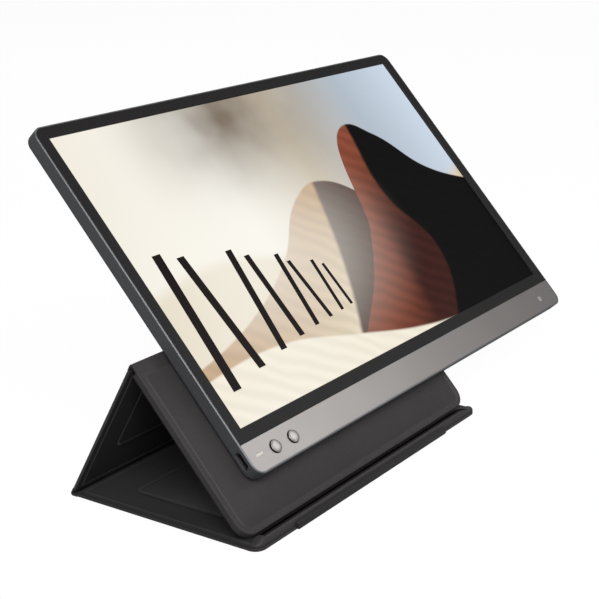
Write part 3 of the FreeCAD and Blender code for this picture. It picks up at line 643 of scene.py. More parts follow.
@dataclass(frozen=True)
class PanelFrame:
    """Frame of a flat panel: x along the folds, y along the panel, z through its thickness."""

    origin: Vector
    turn: float

    def matrix(self) -> Matrix:
        """Matrix from the panel's own frame to the part's."""
        return Matrix.Translation(self.origin) @ Matrix.Rotation(self.turn, 4, "X")

    def shifted(self, x: float, y: float, z: float) -> Matrix:
        """Matrix of the same frame with its origin moved within the panel, in millimetres."""
        return self.matrix() @ Matrix.Translation(Vector((x, y, z)) * MM)


class FrameName(Enum):
    """The panels whose frames carry everything."""

    BASE = "base"
    REAR = "rear_panel"
    SUPPORT = "support_panel"
    MONITOR = "monitor"


def panel_frames(joints: list[dict]) -> dict[FrameName, PanelFrame]:
    """Work out each panel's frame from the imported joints.

    Args:
        joints: the record's joints.

    Returns:
        The frame of each panel.
    """
    by_name = {joint["name"]: joint for joint in joints}
    rear_axis = Vector(by_name["rear_fold"]["pos_m"])
    top_axis = Vector(by_name["top_fold"]["pos_m"])
    screen_out = Vector(by_name["monitor_lift"]["axis"])
    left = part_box("base_skin")[0]
    rise = top_axis - rear_axis
    rear_lean = math.atan2(rise.z, -rise.y)
    screen_lean = math.atan2(-screen_out.y, screen_out.z)
    rear_out = Vector((0, math.sin(rear_lean), math.cos(rear_lean)))
    fold_radius = rear_axis.z
    on_left = Vector((left.x, 0, 0))
    down = Vector((0, -math.cos(screen_lean), -math.sin(screen_lean)))
    monitor_origin = (
        Vector((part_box("rear_cover")[0].x, top_axis.y, top_axis.z))
        + screen_out * (fold_radius + Monitor.back_gap * MM)
        + down * Monitor.drop * MM
    )
    return {
        FrameName.BASE: PanelFrame(left, 0.0),
        FrameName.REAR: PanelFrame(on_left + rear_axis + rear_out * fold_radius, math.pi - rear_lean),
        FrameName.SUPPORT: PanelFrame(on_left + top_axis + screen_out * fold_radius, math.pi + screen_lean),
        FrameName.MONITOR: PanelFrame(monitor_origin, screen_lean),
    }


def verts_of(made: dict) -> list[bmesh.types.BMVert]:
    """The vertices among what a bmesh operator made."""
    return [item for item in made["geom"] if isinstance(item, bmesh.types.BMVert)]


def disc(radius: float, height: float, segments: int) -> Mesh:
    """Round disc that stands on z = 0, in the units of its sizes.

    Args:
        radius: its radius.
        height: its height.
        segments: sides of its rim.

    Returns:
        The mesh.
    """
    mesh = bmesh.new()
    bmesh.ops.create_circle(mesh, cap_ends=True, radius=radius, segments=segments)
    raised = bmesh.ops.extrude_face_region(mesh, geom=mesh.faces[:])
    bmesh.ops.translate(mesh, verts=verts_of(raised), vec=(0, 0, height))
    bmesh.ops.recalc_face_normals(mesh, faces=mesh.faces[:])
    return mesh


def slab(
    outline: Outline, low: float, high: float, corners: tuple[float, float, float, float],
    low_round: float, high_round: float, square_ends: tuple[float, ...] = (),
) -> Mesh:
    """Flat slab with round corners and soft edges.

    Args:
        outline: left, bottom, right and top, in millimetres.
        low: lower face.
        high: upper face.
        corners: corner radii from lower left, counter-clockwise.
        low_round: radius of the lower edge.
        high_round: radius of the upper edge.
        square_ends: places along y where the edges stay square.

    Returns:
        The mesh, in metres.
    """
    left, bottom, right, top = outline
    mesh = bmesh.new()
    places = ((left, bottom), (right, bottom), (right, top), (left, top))
    points = [mesh.verts.new((x, y, low)) for x, y in places]
    mesh.faces.new(points)
    for point, radius in zip(points, corners):
        if radius:
            bmesh.ops.bevel(
                mesh, geom=[point], offset=radius, segments=CORNER_STEPS, profile=0.5, affect="VERTICES",
                material=-1,
            )
    raised = bmesh.ops.extrude_face_region(mesh, geom=mesh.faces[:])
    bmesh.ops.translate(mesh, verts=verts_of(raised), vec=(0, 0, high - low))
    for level, radius in ((low, low_round), (high, high_round)):
        edges = [
            edge for edge in mesh.edges
            if all(abs(vert.co.z - level) < SAME_LEVEL for vert in edge.verts)
            and not any(all(abs(vert.co.y - end) < SAME_LEVEL for vert in edge.verts) for end in square_ends)
        ]
        if radius:
            bmesh.ops.bevel(
                mesh, geom=edges, offset=radius, segments=EDGE_STEPS, profile=0.5, affect="EDGES", material=-1
            )
    bmesh.ops.recalc_face_normals(mesh, faces=mesh.faces[:])
    bmesh.ops.scale(mesh, vec=(MM, MM, MM), verts=mesh.verts[:])
    return mesh


def largest_face(mesh: Mesh, upward: bool) -> bmesh.types.BMFace:
    """Find the largest face that points up, or down, in the mesh's own frame.

    Args:
        mesh: the mesh.
        upward: whether the face points up.

    Returns:
        The face.
    """
    sign = 1 if upward else -1
    flat = (face for face in mesh.faces if face.normal.z * sign > FLAT_FACING)
    return max(flat, key=lambda face: face.calc_area())


def press_line(mesh: Mesh, face: bmesh.types.BMFace, inset: float, width: float, depth: float) -> None:
    """Press a line into a flat face all round, at a distance from its edge, with the mesh's second material,
    which carries the painted highlight.

    Args:
        mesh: the mesh.
        face: the face.
        inset: distance from the edge, in millimetres.
        width: width of the line.
        depth: depth of the line.
    """
    for thickness, sink in ((inset, 0.0), (width / 2, -depth), (width / 2, depth)):
        ring = bmesh.ops.inset_region(
            mesh, faces=[face], thickness=thickness * MM, depth=sink * MM, use_even_offset=True,
            use_boundary=True,
        )
        # The line's walls get the second material: painted highlight
        for part in ring["faces"]:
            part.material_index = 1 if sink else 0


def make_piece(name: str, mesh: Mesh, material: Material) -> Piece:
    """Turn a bmesh into an object that sits at the origin.

    Args:
        name: the piece's name.
        mesh: the bmesh, which is freed.
        material: its material.

    Returns:
        The new object.
    """
    data = bpy.data.meshes.new(name)
    mesh.to_mesh(data)
    mesh.free()
    data.materials.append(material)
    data.shade_smooth()
    data.set_sharp_from_angle(angle=SMOOTH_ANGLE)
    piece = bpy.data.objects.new(name, data)
    bpy.context.scene.collection.objects.link(piece)
    log.info("built %s with %d faces", name, len(data.polygons))
    return piece


def dress(node: Piece, material: Material) -> None:
    """Give a CAD node its material.

    Args:
        node: the CAD node.
        material: its material.
    """
    node.data.materials.clear()
    node.data.materials.append(material)
    log.info("dressed %s in %s", node.name, material.name)


# Sub-assemblies


@dataclass
class Monitor:
    """Housing, screen and inner works: CAD nodes that are right as they are and get their finishes."""

    nodes: dict[str, Piece]
    frame: PanelFrame
    drop: ClassVar[float] = 76.3
    back_gap: ClassVar[float] = 0.2
    picture_left: float = 8.05
    picture_bottom: float = 24.6
    picture_width: float = 309.3
    picture_height: float = 174.0
    rim_start: float = 8.75
    mark: tuple[float, float, float] = (304.6, 8.3, 8.85)
    mark_radius: float = 1.9
    mark_thickness: float = 0.03
    mark_sides: int = 32
    shell: str = "#4f5154"
    # The rim's paler colour is a painted highlight along the front rim
    rim: str = "#7c7d80"

    def dress(self) -> None:
        """Give every CAD node of the monitor its finish."""
        picture = WallpaperFinish(
            "display_dunes", self.frame.shifted(self.picture_left, self.picture_bottom, 0),
            self.picture_width * MM, self.picture_height * MM,
        )
        dress(self.nodes["display_cell"], picture.material())
        housing = HousingFinish(
            "moulded_abs_rim_painted_highlight", self.frame.matrix(), self.shell, self.rim, rim_start_mm=self.rim_start
        )
        dress(self.nodes["rear_cover"], housing.material())
        for finish, names in MONITOR_FINISHES:
            material = finish.material()
            for name in names:
                dress(self.nodes[name], material)

    def build_mark(self, material: Material) -> Piece:
        """Print a plain disc at the chin's right end.

        Args:
            material: the ink.

        Returns:
            The disc.
        """
        mesh = disc(self.mark_radius * MM, self.mark_thickness * MM, self.mark_sides)
        bmesh.ops.transform(mesh, matrix=self.frame.shifted(*self.mark), verts=mesh.verts[:])
        piece = make_piece("chin_mark", mesh, material)
        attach(piece, FrameName.MONITOR.value)
        return piece


@dataclass
class PushButton:
    """Plated cap with a rounded rim and a low dome, standing in a hole of the chin."""

    name: str
    frame: PanelFrame
    x: float
    y: float = 8.9
    foot: float = 7.6
    rim: float = 9.75
    radius: float = 3.4
    rim_round: float = 0.25
    sides: int = 64
    crown_facing: float = 0.2
    dome_steps: tuple[tuple[float, float], ...] = ((0.5, 0.13), (0.8, 0.1), (0.8, 0.05), (0.6, 0.02))

    def build(self, crown_finish: Material, painted_shade_finish: Material) -> Piece:
        """Build the cap in place of its CAD node.

        Args:
            crown_finish: the plated finish of the crown.
            painted_shade_finish: the near-black painted shade of the hole, on the wall below it.

        Returns:
            The cap.
        """
        height = self.rim - self.foot
        mesh = disc(self.radius, height, self.sides)
        rim_edges = [
            edge for edge in mesh.edges if all(abs(vert.co.z - height) < SAME_LEVEL for vert in edge.verts)
        ]
        bmesh.ops.bevel(
            mesh, geom=rim_edges, offset=self.rim_round, segments=EDGE_STEPS, profile=0.5, affect="EDGES",
            material=-1,
        )
        crown = largest_face(mesh, upward=True)
        for inset, rise in self.dome_steps:
            bmesh.ops.inset_region(mesh, faces=[crown], thickness=inset, depth=rise, use_even_offset=True)
        mesh.normal_update()
        # Faces below the crown get the painted shade of the hole
        for face in mesh.faces:
            face.material_index = 0 if face.normal.z > self.crown_facing else 1
        bmesh.ops.scale(mesh, vec=(MM, MM, MM), verts=mesh.verts[:])
        bmesh.ops.transform(mesh, matrix=self.frame.shifted(self.x, self.y, self.foot), verts=mesh.verts[:])
        piece = make_piece(f"{self.name}_cap", mesh, crown_finish)
        piece.data.materials.append(painted_shade_finish)
        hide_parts(self.name)
        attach(piece, self.name)
        return piece


class Layer(Enum):
    """The layers of a cover panel that are rebuilt, named as in their CAD nodes."""

    SKIN = "skin"
    LINING = "lining"


@dataclass
class CoverPanel:
    """One panel of the folding cover: an outer skin with a pressed hem, and a lining over its board."""

    name: str
    body: FrameName
    frame: PanelFrame
    start: float
    end: float
    thickness: float
    corners: tuple[float, float, float, float]
    folds: tuple[float, ...]
    board: Outline | None = None
    width: float = COVER_WIDTH
    lining_thickness: float = 0.6
    board_rise: float = 0.4
    rise_round_share: float = 0.9
    board_corner: float = 5.0
    skin_round: float = 0.6
    seam_round: float = 0.28
    hem_inset: float = 2.2
    hem_width: float = 1.2
    hem_depth: float = 0.35
    bead_inset: float = 0.3
    bead_width: float = 1.5
    bead_height: float = 0.4

    def build_skin(self, material: Material, painted_highlight: Material) -> Piece:
        """Build the outer skin in place of its CAD node.

        Args:
            material: the leatherette.
            painted_highlight: the same, painted paler as highlight, where the hem is pressed.

        Returns:
            The skin.
        """
        outline = (0, self.start, self.width, self.end)
        top = self.thickness - self.lining_thickness
        mesh = slab(outline, 0, top, self.corners, self.skin_round, self.seam_round, self.folds)
        press_line(mesh, largest_face(mesh, upward=False), self.hem_inset, self.hem_width, self.hem_depth)
        return self.place(mesh, Layer.SKIN, (material, painted_highlight), "leatherette")

    def build_lining(self, material: Material, painted_highlight: Material) -> Piece:
        """Build the lining, with its rise over the board, in place of its CAD node.

        Args:
            material: the lining's finish.
            painted_highlight: the same, painted paler as highlight, on the bead and the hem.

        Returns:
            The lining.
        """
        outline = (0, self.start, self.width, self.end)
        low = self.thickness - self.lining_thickness
        mesh = slab(
            outline, low, self.thickness, self.corners, self.seam_round / 2, self.seam_round, self.folds
        )
        field = largest_face(mesh, upward=True)
        press_line(mesh, field, self.hem_inset, self.hem_width, self.hem_depth / 2)
        if self.board:
            self.raise_board(mesh, field)
        return self.place(mesh, Layer.LINING, (material, painted_highlight), "lining_fabric")

    def raise_board(self, mesh: Mesh, field: bmesh.types.BMFace) -> None:
        """Join the rise over the board to the lining's field, with a bead round its top.

        Args:
            mesh: the lining.
            field: the flat face inside the lining's hem, which is replaced by a ring round the rise.
        """
        rise = slab(
            self.board, self.thickness, self.thickness + self.board_rise, (self.board_corner,) * 4, 0,
            self.board_rise * self.rise_round_share,
        )
        press_line(rise, largest_face(rise, upward=True), self.bead_inset, self.bead_width, -self.bead_height)
        bmesh.ops.delete(rise, geom=[largest_face(rise, upward=False)], context="FACES_ONLY")
        bmesh.ops.delete(mesh, geom=[field], context="FACES_ONLY")
        joined = bpy.data.meshes.new("board_rise")
        rise.to_mesh(joined)
        rise.free()
        mesh.from_mesh(joined)
        bpy.data.meshes.remove(joined)
        rims = [edge for edge in mesh.edges if edge.is_boundary]
        bmesh.ops.triangle_fill(mesh, edges=rims, use_beauty=True, normal=(0, 0, 1))
        bmesh.ops.recalc_face_normals(mesh, faces=mesh.faces[:])

    def place(self, mesh: Mesh, layer: Layer, materials: tuple[Material, Material], slot: str) -> Piece:
        """Put a layer in its place on the panel.

        Args:
            mesh: the layer's mesh, in the panel's own frame.
            layer: which layer it is.
            materials: its material, and that of its pressed lines.
            slot: the record's material slot; not used.

        Returns:
            The piece.
        """
        bmesh.ops.transform(mesh, matrix=self.frame.matrix(), verts=mesh.verts[:])
        stuff = "leather" if layer is Layer.SKIN else "cloth"
        piece = make_piece(f"{self.name}_{layer.value}_{stuff}", mesh, materials[0])
        piece.data.materials.append(materials[1])
        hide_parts(f"{self.name}_{layer.value}")
        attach(piece, self.body.value)
        return piece


@dataclass
class FoldStrip:
    """Leatherette that bends round a fold and runs a short way along both panels."""

    name: str
    axis: Vector
    bodies: tuple[FrameName, FrameName]
    first_way: Vector
    first_out: Vector
    last_way: Vector
    legs: tuple[float, float]
    turn: float
    left: float
    width: float = COVER_WIDTH
    outer: float = 1.2
    thickness: float = 0.9
    bend_steps: int = 14
    leg_steps: int = 4

    def build(self, material: Material) -> Piece:
        """Build the strip, bent round the fold as it rests, in place of its CAD node.

        Args:
            material: the leatherette.

        Returns:
            The strip.
        """
        mesh = bmesh.new()
        corner = Vector((self.left, self.axis.y, self.axis.z))
        ends = [
            mesh.verts.new(corner + self.first_out * radius * MM)
            for radius in (self.outer - self.thickness, self.outer)
        ]
        edge = mesh.edges.new(ends)
        spun = bmesh.ops.spin(
            mesh, geom=[*ends, edge], cent=corner, axis=(1, 0, 0), angle=self.turn, steps=self.bend_steps,
            use_merge=False, use_duplicate=False,
        )
        last = [item for item in spun["geom_last"] if isinstance(item, bmesh.types.BMEdge)]
        for run, way, length in (([edge], self.first_way, self.legs[0]), (last, self.last_way, self.legs[1])):
            for _ in range(self.leg_steps):
                grown = bmesh.ops.extrude_edge_only(mesh, edges=run)
                moved = verts_of(grown)
                run = [item for item in grown["geom"] if isinstance(item, bmesh.types.BMEdge)
                       and all(vert in moved for vert in item.verts)]
                bmesh.ops.translate(mesh, verts=moved, vec=way * length * MM / self.leg_steps)
        section = bmesh.ops.extrude_face_region(mesh, geom=mesh.faces[:])
        bmesh.ops.translate(mesh, verts=verts_of(section), vec=(self.width * MM, 0, 0))
        bmesh.ops.recalc_face_normals(mesh, faces=mesh.faces[:])
        piece = make_piece(f"{self.name}_leather", mesh, material)
        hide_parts(self.name)
        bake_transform(piece)
        return piece


@dataclass
class FrontLip:
    """Padded roll along the base's front edge that the foot stands behind, with a strip along its front."""

    frame: PanelFrame
    outline: Outline = (0.5, 0.5, 205.5, 6.2)
    corner: float = 4.4
    turn_degrees: tuple[int, ...] = (20, 30, 40, 50, 60, 70, 80, 90)
    low: float = 2.4
    high: float = 6.3
    crown: float = 2.2
    crown_steps: int = 6
    crown_depth_share: float = 0.49
    crown_height_share: float = 0.9
    back_sag: float = 0.42
    left_taper: float = 7.0
    right_taper: float = 18.0
    taper_steps: int = 8
    end_share: float = 0.2
    strip: Outline = (29.5, 0.3, 169.0, 4.6)
    strip_back: float = 0.8
    strip_thickness: float = 2.4
    strip_round: float = 0.8
    strip_corner: float = 1.2
    # How far a face of the roll turns back before it gets the painted shade, then the painted shadow, and the
    # stretch along x that is painted
    painted_shade_facing: float = -0.5
    painted_shadow_facing: float = -0.1
    painted_shade_reach: tuple[float, float] = (7.0, 198.0)

    def stations(self) -> list[float]:
        """Places of the roll's sections along x, closer together where its ends turn and flatten.

        Returns:
            The places from left to right, in millimetres.
        """
        left, _, right, _ = self.outline
        turn = [self.corner * (1 - math.cos(math.radians(angle))) for angle in self.turn_degrees]
        from_left, from_right = (
            turn + [self.corner + (taper - self.corner) * step / self.taper_steps
                    for step in range(1, self.taper_steps + 1)]
            for taper in (self.left_taper, self.right_taper)
        )
        return [left + away for away in from_left] + [right - away for away in reversed(from_right)]

    def section(self, x: float) -> list[tuple[float, float]]:
        """Outline of the roll at one place along x, from its front foot over the crown to its back foot.

        Args:
            x: the place, in millimetres.

        Returns:
            Points of y and z, in millimetres.
        """
        left, front, right, back = self.outline
        turn = max(0.0, self.corner - min(x - left, right - x))
        front += self.corner - math.sqrt(self.corner ** 2 - turn ** 2)
        shares = (min(1.0, (x - left) / self.left_taper), min(1.0, (right - x) / self.right_taper))
        rise = self.high - self.low
        for share in shares:
            rise *= self.end_share + (1 - self.end_share) * share * share * (3 - 2 * share)
        crown = min(self.crown, self.crown_depth_share * (back - front), self.crown_height_share * rise)
        crest, top = front + crown, self.low + rise
        steps = [step / self.crown_steps for step in range(self.crown_steps + 1)]
        over = [
            (crest - crown * math.cos(math.pi / 2 * step), top - crown * (1 - math.sin(math.pi / 2 * step)))
            for step in steps
        ]
        down = [(crest + (back - crest) * step, top - self.back_sag * rise * step ** 2) for step in steps[1:]]
        return [(front, self.low), *over, *down, (back, self.low)]

    def build_roll(self, materials: tuple[Material, ...]) -> Piece:
        """Build the roll in place of its CAD node.

        Args:
            materials: the leatherette, the same darkened as painted shade over the crown, and near black as
                painted shadow over the top and back towards the crease.

        Returns:
            The roll.
        """
        mesh = bmesh.new()
        start, *others = self.stations()
        end = mesh.faces.new([mesh.verts.new((start, y, z)) for y, z in self.section(start)])
        passed = []
        for x in others:
            passed.append(end)
            grown = bmesh.ops.extrude_face_region(mesh, geom=[end])
            end = next(item for item in grown["geom"] if isinstance(item, bmesh.types.BMFace))
            for vert, (y, z) in zip(end.verts, self.section(x)):
                vert.co = (x, y, z)
        # Extruding leaves each section it has passed inside the roll, and only the first is an end
        bmesh.ops.delete(mesh, geom=passed[1:], context="FACES_ONLY")
        mesh.normal_update()
        bmesh.ops.recalc_face_normals(mesh, faces=mesh.faces[:])
        bmesh.ops.scale(mesh, vec=(MM, MM, MM), verts=mesh.verts[:])
        # Painted shade and shadow: faces that turn up and back get the darker finishes, the most turned the
        # near-black one
        limits = (self.painted_shade_facing, self.painted_shadow_facing)
        for face in mesh.faces:
            if self.painted_shade_reach[0] < face.calc_center_median().x / MM < self.painted_shade_reach[1]:
                face.material_index = sum(face.normal.y > limit for limit in limits)
        bmesh.ops.transform(mesh, matrix=self.frame.matrix(), verts=mesh.verts[:])
        piece = make_piece("front_lip_roll", mesh, materials[0])
        for material in materials[1:]:
            piece.data.materials.append(material)
        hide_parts("front_lip")
        return self.carry(piece)

    def build_strip(self, material: Material) -> Piece:
        """Build the flat strip that is glued along the front of the base and the roll.

        Args:
            material: the leatherette.

        Returns:
            The strip.
        """
        mesh = slab(self.strip, 0, self.strip_thickness, (self.strip_corner,) * 4, 0, self.strip_round)
        standing = self.frame.shifted(0, self.strip_back, 0) @ Matrix.Rotation(math.pi / 2, 4, "X")
        bmesh.ops.transform(mesh, matrix=standing, verts=mesh.verts[:])
        return self.carry(make_piece("front_lip_strip", mesh, material))

    @staticmethod
    def carry(piece: Piece) -> Piece:
        """Let the base carry a piece of leatherette.

        Args:
            piece: the piece.

        Returns:
            The same piece.
        """
        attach(piece, FrameName.BASE.value)
        return piece


# Places of the buttons along the chin, in millimetres
BUTTON_PLACES = {"menu_button": 21.2, "power_button": 35.6}
# Leatherette: a coated fabric with a pressed pebble, which gives a broken, dull shine
LEATHERETTE = LeatheretteFinish("leatherette_pressed_grain", colour="#343131", rubbed="#3e3a3a")
# The strip on the lip's front is of the same coat, rolled thinner and duller
STRIP = LeatheretteFinish("leatherette_strip", colour="#242222", rubbed="#2a2828", roughness=0.66)
# Painted shade on the lip's roll towards the crease behind it: darker and dull, and near black as painted
# shadow on its top and back
LIP_PAINTED_SHADE = GrainFinish("leatherette_painted_shade", "#211f1f", 0.85, specular=0.12, grain_mm=1.1, grain_depth_mm=0.05)
LIP_PAINTED_SHADOW = replace(LIP_PAINTED_SHADE, name="leatherette_painted_crease_shadow", colour="#080707", roughness=0.95, specular=0.0)
# Lining: brushed cloth, whose short nap gives a dull, even dark
LINING = GrainFinish(
    "lining_brushed_cloth", "#232222", 0.85, specular=0.25, grain_mm=1.0, grain_depth_mm=0.05,
    tone_share=0.12, sheen=0.15,
)
# The rear panel's lining is darker: painted shade of the prism that it lies in
LINING_PAINTED_SHADE = replace(LINING, name="lining_brushed_cloth_painted_shade", colour="#1b1a1a", specular=0.15, sheen=0.06)
# Where leatherette and lining are pressed, they are painted paler: painted highlight along the pressed lines
HEM_PAINTED_HIGHLIGHT = LeatheretteFinish("leatherette_hem_painted_highlight", colour="#3f3c3c", rubbed="#494544", roughness=0.48)
BEAD_PAINTED_HIGHLIGHT = replace(LINING, name="lining_bead_painted_highlight", colour="#3b3a3a", roughness=0.6)
# Painted shade: the cap's wall below the crown is near black, as the shadow of the hole
CAP_WALL_PAINTED_SHADE = GrainFinish("cap_wall_painted_shade", "#161515", 0.5, specular=0.3)
# Pale grey pad-printing ink
INK = GrainFinish("pad_print_grey", "#a9a7a5", 0.5, specular=0.3, tone_share=0.02)
# Plated ABS: a bright, slightly soft mirror
PLATED = GrainFinish("plated_abs_satin", "#aca8a6", 0.3, metallic=0.7, grain_depth_mm=0.0004, tone_share=0.03)
MONITOR_FINISHES = (
    # Moulded ABS, matt, round the picture
    (GrainFinish("moulded_abs_black", "#252323", 0.5, specular=0.2, grain_mm=0.6, grain_depth_mm=0.008),
     ("front_bezel",)),
    # Metallic paint on ABS: fine flakes under a clear coat
    (GrainFinish("silver_paint", "#9c9896", 0.34, metallic=0.7, grain_mm=0.5, grain_depth_mm=0.004,
                 tone_share=0.03), ("chin_panel",)),
    # Frosted acrylic light pipe: a small soft glow
    (GrainFinish("light_pipe_frosted", "#d4cec6", 0.4, tone_share=0.02, glow=0.12), ("indicator_lens",)),
    # Tinned steel sheet, drawn to a shell: a dull bright rim round the port
    (GrainFinish("tinned_steel_shell", "#a9a9aa", 0.3, metallic=1.0, grain_depth_mm=0.004),
     ("usb_c_socket",)),
    # Zinc-coated steel sheet: cool grey with cloudy patches
    (GrainFinish("zinc_coated_sheet", "#a7a9ab", 0.4, metallic=1.0, tone_mm=12.0, tone_share=0.1),
     ("panel_chassis", "board_shield", "steel_plate", "base_keeper")),
    # Bright screw steel: small sharp glints
    (GrainFinish("bright_screw_steel", "#b4b4b6", 0.28, metallic=1.0), ("board_screws",)),
    # Solder mask on a circuit board: deep green under a thin gloss
    (GrainFinish("solder_mask_green", "#1d5a36", 0.35, grain_mm=0.5, tone_mm=5.0, tone_share=0.12),
     ("main_board", "panel_board", "led_bar", "indicator_led")),
    # Polyimide film: amber and slightly glossy
    (GrainFinish("polyimide_film", "#b98a3c", 0.35, tone_share=0.1), ("panel_flex", "display_cable")),
    # White polyester film: an even, milky white
    (GrainFinish("white_reflector_film", "#eceae4", 0.6, tone_share=0.03),
     ("reflector_sheet", "optical_films")),
    # Cast acrylic sheet: pale, with a hard gloss
    (GrainFinish("cast_acrylic", "#dfe5e8", 0.1, tone_share=0.02), ("light_guide",)),
    # Closed-cell foam: black and dead matt
    (GrainFinish("closed_cell_foam", "#222222", 0.95, grain_mm=0.6, grain_depth_mm=0.05), ("panel_gasket",)),
    # Moulded epoxy of chips and connectors: black with a faint grain
    (GrainFinish("moulded_epoxy_black", "#1c1c1e", 0.55, grain_mm=0.5),
     ("board_chips", "cable_connector", "tact_switches")),
    # Pressed greyboard: warm grey, dry and fibrous
    (GrainFinish("greyboard_pressed", "#8d877d", 0.95, grain_mm=1.2, grain_depth_mm=0.05, tone_mm=4.0),
     ("base_board", "rear_board", "support_board")),
    # Nickel plating on magnets: a warm, bright mirror
    (GrainFinish("nickel_plated_magnet", "#bdbab4", 0.25, metallic=1.0), ("panel_magnets", "foot_magnets")),
)


@dataclass
class FoldingCover:
    """The cover: three panels, the two folds between them and the front lip."""

    frames: dict[FrameName, PanelFrame]
    joints: list[dict]
    fold_gap: float = 3.0
    support_gap: float = 4.0

    def panels(self) -> list[CoverPanel]:
        """The three panels, with their sizes in millimetres.

        Returns:
            The panels from the base to the support.
        """
        base = self.frames[FrameName.BASE]
        rear = self.frames[FrameName.REAR]
        support = self.frames[FrameName.SUPPORT]
        return [
            CoverPanel(
                "base", FrameName.BASE, base, start=0.0, end=116.5, thickness=2.4,
                corners=(6.0, 6.0, 0, 0), folds=(116.5,), board=(16.0, 31.5, 190.0, 92.5),
            ),
            CoverPanel(
                "rear", FrameName.REAR, rear, start=3.0, end=87.5, thickness=2.4,
                corners=(0, 0, 0, 0), folds=(3.0, 87.5), board=(16.0, 27.0, 190.0, 73.5),
            ),
            CoverPanel(
                "support", FrameName.SUPPORT, support, start=4.0, end=97.678, thickness=4.0,
                corners=(0, 0, 9.0, 9.0), folds=(4.0,),
            ),
        ]

    def folds(self) -> list[FoldStrip]:
        """The two folds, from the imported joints.

        Returns:
            The rear fold and the top fold.
        """
        axes = {joint["name"]: Vector(joint["pos_m"]) for joint in self.joints if "pos_m" in joint}
        rear_up = (axes["top_fold"] - axes["rear_fold"]).normalized()
        rear_out = Vector((0, rear_up.z, -rear_up.y))
        support_turn = self.frames[FrameName.SUPPORT].turn
        support_down = Vector((0, math.cos(support_turn), math.sin(support_turn)))
        lean = support_turn - math.pi
        rear_lean = math.pi - self.frames[FrameName.REAR].turn
        left = self.frames[FrameName.BASE].origin.x
        return [
            FoldStrip(
                "rear_fold_strip", axes["rear_fold"], (FrameName.BASE, FrameName.REAR),
                first_way=Vector((0, -1, 0)), first_out=Vector((0, 0, -1)), last_way=rear_up,
                legs=(self.fold_gap, self.fold_gap), turn=math.pi - rear_lean, left=left,
            ),
            FoldStrip(
                "top_fold_strip", axes["top_fold"], (FrameName.REAR, FrameName.SUPPORT),
                first_way=-rear_up, first_out=rear_out, last_way=support_down,
                legs=(self.fold_gap, self.support_gap), turn=rear_lean + lean, left=left,
            ),
        ]

    def build(self) -> None:
        """Build every piece of the cover."""
        leather = LEATHERETTE.material()
        hem, bead = HEM_PAINTED_HIGHLIGHT.material(), BEAD_PAINTED_HIGHLIGHT.material()
        lining, shade = LINING.material(), LINING_PAINTED_SHADE.material()
        for panel in self.panels():
            panel.build_skin(leather, hem)
            # The rear panel's lining carries the painted shade
            panel.build_lining(shade if panel.body is FrameName.REAR else lining, bead)
        for fold in self.folds():
            fold.build(leather)
        lip = FrontLip(self.frames[FrameName.BASE])
        lip.build_roll((leather, LIP_PAINTED_SHADE.material(), LIP_PAINTED_SHADOW.material()))
        lip.build_strip(STRIP.material())


@dataclass(frozen=True)
class SoftBox:
    """Square studio lamp that looks at the part's middle."""

    name: str
    place: tuple[float, float, float]
    size: float
    power: float
    target: tuple[float, float, float] = (0.05, 0.0, 0.08)

    def build(self) -> None:
        """Add the lamp to the scene."""
        data = bpy.data.lights.new(self.name, "AREA")
        data.size = self.size
        data.energy = self.power
        lamp = bpy.data.objects.new(self.name, data)
        lamp.location = self.place
        aim = Vector(self.target) - Vector(self.place)
        lamp.rotation_euler = aim.to_track_quat("-Z", "Y").to_euler()
        bpy.context.scene.collection.objects.link(lamp)


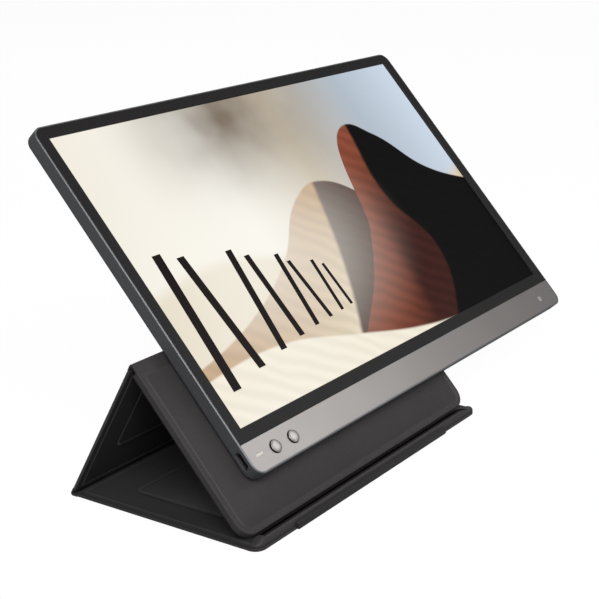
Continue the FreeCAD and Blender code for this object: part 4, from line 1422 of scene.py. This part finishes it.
@dataclass
class Studio:
    """Floor, lamps, surroundings and the camera at the photograph's viewing angle."""

    camera_place: tuple[float, float, float] = (-0.542474, -0.411670, 0.293287)
    camera_right: tuple[float, float, float] = (0.58633298, -0.80941174, -0.03265383)
    camera_up: tuple[float, float, float] = (0.25411074, 0.14550193, 0.95616783)
    focal_pixels: float = 1358.656
    sensor: float = 36.0
    clip_start: float = 0.01
    floor_size: float = 30.0
    floor_paper: str = "#b0b0b0"
    floor_clearness: float = 0.86
    light_level: float = 0.2
    background_level: float = 1.12

    def build(self) -> None:
        """Set up everything round the part."""
        self.build_floor()
        self.build_world()
        for lamp in (
            SoftBox("key_lamp", (-0.75, -0.6, 0.85), size=0.7, power=9.5),
            SoftBox("front_lamp", (0.2, -1.9, 1.3), size=1.4, power=5.0),
            SoftBox("right_lamp", (0.5, -0.45, 0.5), size=0.35, power=0.95),
            SoftBox("back_lamp", (0.6, 1.6, 1.5), size=1.2, power=8.0),
        ):
            lamp.build()
        self.build_camera()

    def build_floor(self) -> None:
        """Pale floor that keeps the part's shadow and lets the camera see through to the surroundings."""
        mesh = bmesh.new()
        bmesh.ops.create_grid(mesh, x_segments=1, y_segments=1, size=self.floor_size / 2)
        material, tree = new_material("studio_floor")
        paper = add_node(tree, "ShaderNodeBsdfDiffuse", {"Color": linear(self.floor_paper)})
        clear = add_node(tree, "ShaderNodeBsdfTransparent", {"Color": (1, 1, 1, 1)})
        seen = self.seen_directly(tree)
        share = add_node(tree, "ShaderNodeMath", {0: seen, 1: self.floor_clearness}, operation="MULTIPLY")
        both = add_node(tree, "ShaderNodeMixShader", {
            0: share.outputs["Value"], 1: paper.outputs["BSDF"], 2: clear.outputs["BSDF"],
        })
        add_node(tree, "ShaderNodeOutputMaterial", {"Surface": both.outputs["Shader"]})
        floor = make_piece("studio_floor", mesh, material)

    @staticmethod
    def seen_directly(tree: Tree) -> Socket:
        """Socket that is 1 where the camera looks straight at something, also through clear material.

        Args:
            tree: the node tree.

        Returns:
            The socket.
        """
        path = add_node(tree, "ShaderNodeLightPath")
        through = add_node(tree, "ShaderNodeMath", {
            0: path.outputs["Is Camera Ray"], 1: path.outputs["Is Transmission Ray"],
        }, operation="MAXIMUM")
        return through.outputs["Value"]

    def build_world(self) -> None:
        """White surroundings for what is seen, and a plain level of light on the part."""
        world = bpy.data.worlds.new("studio")
        bpy.context.scene.world = world
        world.use_nodes = True
        tree = world.node_tree
        tree.nodes.clear()
        level = add_node(tree, "ShaderNodeMapRange", {
            "Value": self.seen_directly(tree), "To Min": self.light_level, "To Max": self.background_level,
        })
        light = add_node(tree, "ShaderNodeBackground", {
            "Color": (1, 1, 1, 1), "Strength": level.outputs["Result"],
        })
        add_node(tree, "ShaderNodeOutputWorld", {"Surface": light.outputs["Background"]})

    def build_camera(self) -> None:
        """Camera fitted to the monitor's corners in the photograph, looking at the photograph's middle."""
        data = bpy.data.cameras.new("photo_camera")
        data.sensor_width = self.sensor
        data.lens = self.focal_pixels * self.sensor / PHOTO_PIXELS
        data.clip_start = self.clip_start
        camera = bpy.data.objects.new("photo_camera", data)
        right, up = Vector(self.camera_right), Vector(self.camera_up)
        axes = Matrix((right, up, right.cross(up))).transposed()
        camera.matrix_world = Matrix.Translation(self.camera_place) @ axes.to_4x4()
        bpy.context.scene.collection.objects.link(camera)
        bpy.context.scene.camera = camera


def main() -> None:
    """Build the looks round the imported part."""
    logging.basicConfig(level=logging.INFO, format="%(message)s")
    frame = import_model()
    bpy.context.scene.view_settings.view_transform = "Standard"
    frames = panel_frames(frame["joints"])
    Studio().build()
    monitor = Monitor(frame["nodes"], frames[FrameName.MONITOR])
    monitor.dress()
    monitor.build_mark(INK.material())
    plated, cap_wall_shade = PLATED.material(), CAP_WALL_PAINTED_SHADE.material()
    for name, x in BUTTON_PLACES.items():
        PushButton(name, frames[FrameName.MONITOR], x).build(plated, cap_wall_shade)
    FoldingCover(frames, frame["joints"]).build()


if __name__ == "__main__":
    main()
